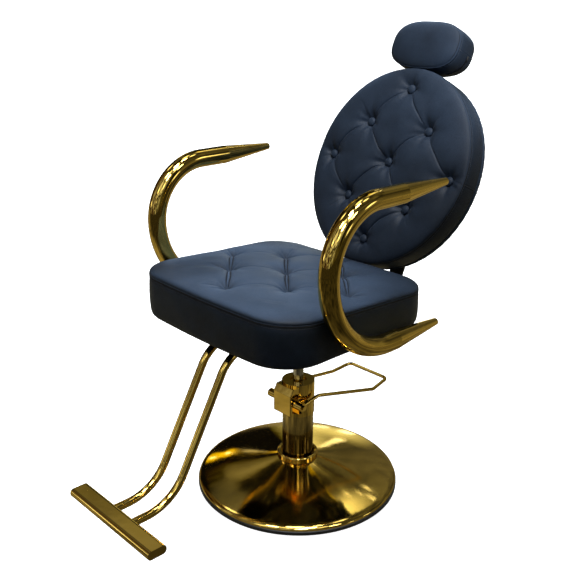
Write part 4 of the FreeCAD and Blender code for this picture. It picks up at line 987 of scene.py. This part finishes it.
# Round lamps: compass turn, rise, radius, softness, light
YELLOW = (1.30, 0.95, 0.02)
WHITE = (3.0, 2.9, 2.6)
LAMPS = ((-67.0, 18.4, 2.9, 0.7, YELLOW), (-62.4, 21.0, 2.5, 0.7, YELLOW), (-67.0, 18.6, 0.7, 0.2, WHITE),
         (-62.4, 21.2, 0.7, 0.2, WHITE), (-57.0, 24.5, 0.8, 0.3, WHITE), (-31.7, 53.6, 2.3, 0.8, YELLOW),
         (-18.7, 45.7, 0.7, 0.3, WHITE), (-18.3, 41.2, 0.9, 0.4, WHITE), (-12.4, 44.5, 0.9, 0.4, WHITE),
         (-24.0, 48.5, 0.7, 0.3, WHITE), (-41.7, 0.8, 1.6, 0.5, WHITE), (-36.6, 2.8, 1.5, 0.5, WHITE),
         (-37.0, 16.0, 1.2, 0.5, WHITE), (-35.0, 33.0, 2.0, 0.8, (1.8, 1.7, 1.4)),
         (-46.0, 76.0, 5.5, 2.0, WHITE), (54.0, 16.0, 4.2, 1.8, WHITE), (-108.0, 53.0, 4.6, 1.8, WHITE),
         (75.0, 9.0, 3.4, 1.5, WHITE), (131.0, 34.0, 4.2, 1.8, WHITE), (175.0, 34.0, 4.2, 1.8, WHITE),
         (-134.0, 8.0, 3.2, 1.5, WHITE), (150.0, 62.0, 5.0, 2.0, WHITE), (100.0, 50.0, 4.4, 1.8, WHITE),
         (30.0, 68.0, 4.6, 1.8, WHITE), (148.0, 32.0, 26.0, 15.0, (0.62, 0.64, 0.68)),
         (-162.0, 26.0, 24.0, 14.0, (0.34, 0.36, 0.39)),
         (-62.0, 35.0, 4.5, 2.0, (0.16, 0.15, 0.11)), (-57.0, 39.0, 4.5, 2.0, (0.16, 0.15, 0.11)))
# Lamps wider than this, in degrees, are broken up into patches
WIDEST_PLAIN = 12


def plus_light(tree, total, match, light):
    """Adds a light, weighed by a mask, to a running total."""
    return vector_maths(tree, "ADD", total, vector_maths(tree, "SCALE", light, match))


def mix_shaders(tree, share, first, second):
    node = tree.nodes.new("ShaderNodeMixShader")
    for slot, source in zip(node.inputs, (share, first, second)):
        tree.links.new(source, slot)
    return node.outputs[0]


def studio():
    """Pale studio: a dim room with soft lamps in it as the gloss sees it, plain white to the eye."""
    world = bpy.data.worlds.new("studio")
    scene.world = world
    world.use_nodes = True
    tree = world.node_tree
    tree.nodes.clear()
    toward = tree.nodes.new("ShaderNodeTexCoord").outputs["Generated"]
    parts = tree.nodes.new("ShaderNodeSeparateXYZ")
    tree.links.new(toward, parts.inputs[0])
    rise = maths(tree, "DEGREES", maths(tree, "ARCSINE", parts.outputs["Z"]))
    turn = maths(tree, "DEGREES", maths(tree, "ARCTAN2", parts.outputs["X"], parts.outputs["Y"]))
    patchy = remap(tree, noise(tree, 2.6, 4.0, 0.62, toward, 0.6), 0.40, 0.62, 0.35, 1.75)
    broken = remap(tree, noise(tree, 4.5, 3.0, 0.6, toward, 1.0), 0.47, 0.58, 0.04, 1.7)
    total = vector_maths(tree, "SCALE", (1.0, 0.93, 0.62), maths(tree, "MULTIPLY", patchy, 0.085))
    for from_turn, to_turn, low, high, soft, light in PANELS:
        # The panel that crosses due south counts its turns from -200 to 160
        where = maths(tree, "WRAP", turn, 160.0, -200.0) if from_turn < -180 else turn
        match = maths(tree, "MULTIPLY", window(tree, where, from_turn, to_turn, soft),
                      window(tree, rise, low, high, soft))
        total = plus_light(tree, total, match, light)
    for turn_to, rise_to, reach, soft, light in LAMPS:
        near = vector_maths(tree, "DOT_PRODUCT", toward, aim(turn_to, rise_to))
        inner = math.cos(math.radians(max(reach - soft, 0.3)))
        outer = math.cos(math.radians(reach + soft))
        match = remap(tree, near, outer, inner)
        if reach > WIDEST_PLAIN:
            match = maths(tree, "MULTIPLY", match, broken)
        total = plus_light(tree, total, match, light)
    gloss = add(tree, "Background")
    tree.links.new(vector_maths(tree, "MAXIMUM", total, (0.004, 0.004, 0.004)), gloss.inputs["Color"])
    plain = add(tree, "Background", Color=(0.90, 0.95, 1.0, 1.0), Strength=0.035)
    eye = add(tree, "Background", Color=(1.0, 1.0, 1.0, 1.0), Strength=1.2)
    rays = tree.nodes.new("ShaderNodeLightPath").outputs
    room = mix_shaders(tree, rays["Is Glossy Ray"], plain.outputs[0], gloss.outputs[0])
    whole = mix_shaders(tree, rays["Is Camera Ray"], room, eye.outputs[0])
    tree.links.new(whole, tree.nodes.new("ShaderNodeOutputWorld").inputs["Surface"])


studio()


def lamp(name, kind, power, toward, colour, gloss=False, **shape):
    """A lamp that shines from a direction, either left out of the gloss or seen only in it."""
    light = bpy.data.lights.new(name, kind)
    light.energy = power
    light.color = colour
    for key, value in shape.items():
        setattr(light, key, value)
    holder = bpy.data.objects.new(name, light)
    holder.visible_glossy = gloss
    holder.visible_diffuse = not gloss
    holder.rotation_euler = Vector(toward).to_track_quat("Z", "Y").to_euler()
    scene.collection.objects.link(holder)
    return holder


COOL = (0.93, 0.97, 1.0)
lamp("key", "SUN", 9.0, (-0.44, 0.54, 0.72), (0.92, 0.97, 1.0), angle=math.radians(24.0))
lamp("top", "SUN", 1.6, (0.05, -0.10, 1.0), COOL, angle=math.radians(36.0))
SPOT_FROM = Vector((0.55, 0.0, 1.5))
spot = lamp("soft_spot", "SPOT", 25.0, SPOT_FROM - Vector((0.05, 0.42, 1.05)), COOL,
            spot_size=math.radians(54), spot_blend=0.9, shadow_soft_size=0.15)
spot.location = SPOT_FROM
# Ceiling lamps that only the gloss sees: compass turn, rise, power
CEILING = ((128, 48, 0.70), (112, 64, 0.80), (140, 78, 0.60), (60, 80, 0.50), (172, 60, 0.45), (86, 44, 0.30))
for index, (turn_to, rise_to, power) in enumerate(CEILING):
    lamp("ceiling_%d" % index, "SUN", power, aim(turn_to, rise_to), (1.0, 0.98, 0.94), True,
         angle=math.radians(11.0))


def camera():
    """The photograph's view, solved from the outlines of the object."""
    turn, pitch, roll = math.radians(46.175), math.radians(20.045), math.radians(0.445)
    ahead = Vector((-math.sin(turn) * math.cos(pitch), math.cos(turn) * math.cos(pitch), -math.sin(pitch)))
    right = Vector((math.cos(turn), math.sin(turn), 0))
    up = right.cross(ahead)
    right, up = (right * math.cos(roll) + up * math.sin(roll), up * math.cos(roll) - right * math.sin(roll))
    view = bpy.data.cameras.new("view")
    view.sensor_width = 36.0
    view.lens = 50.53
    view.clip_end = 200.0
    holder = bpy.data.objects.new("view", view)
    turned = Matrix((right, up, -ahead)).transposed().to_4x4()
    holder.matrix_world = Matrix.Translation(Vector((1.3296, -1.3078, 1.2034))) @ turned
    scene.collection.objects.link(holder)
    scene.camera = holder


camera()
scene.view_settings.view_transform = "Standard"
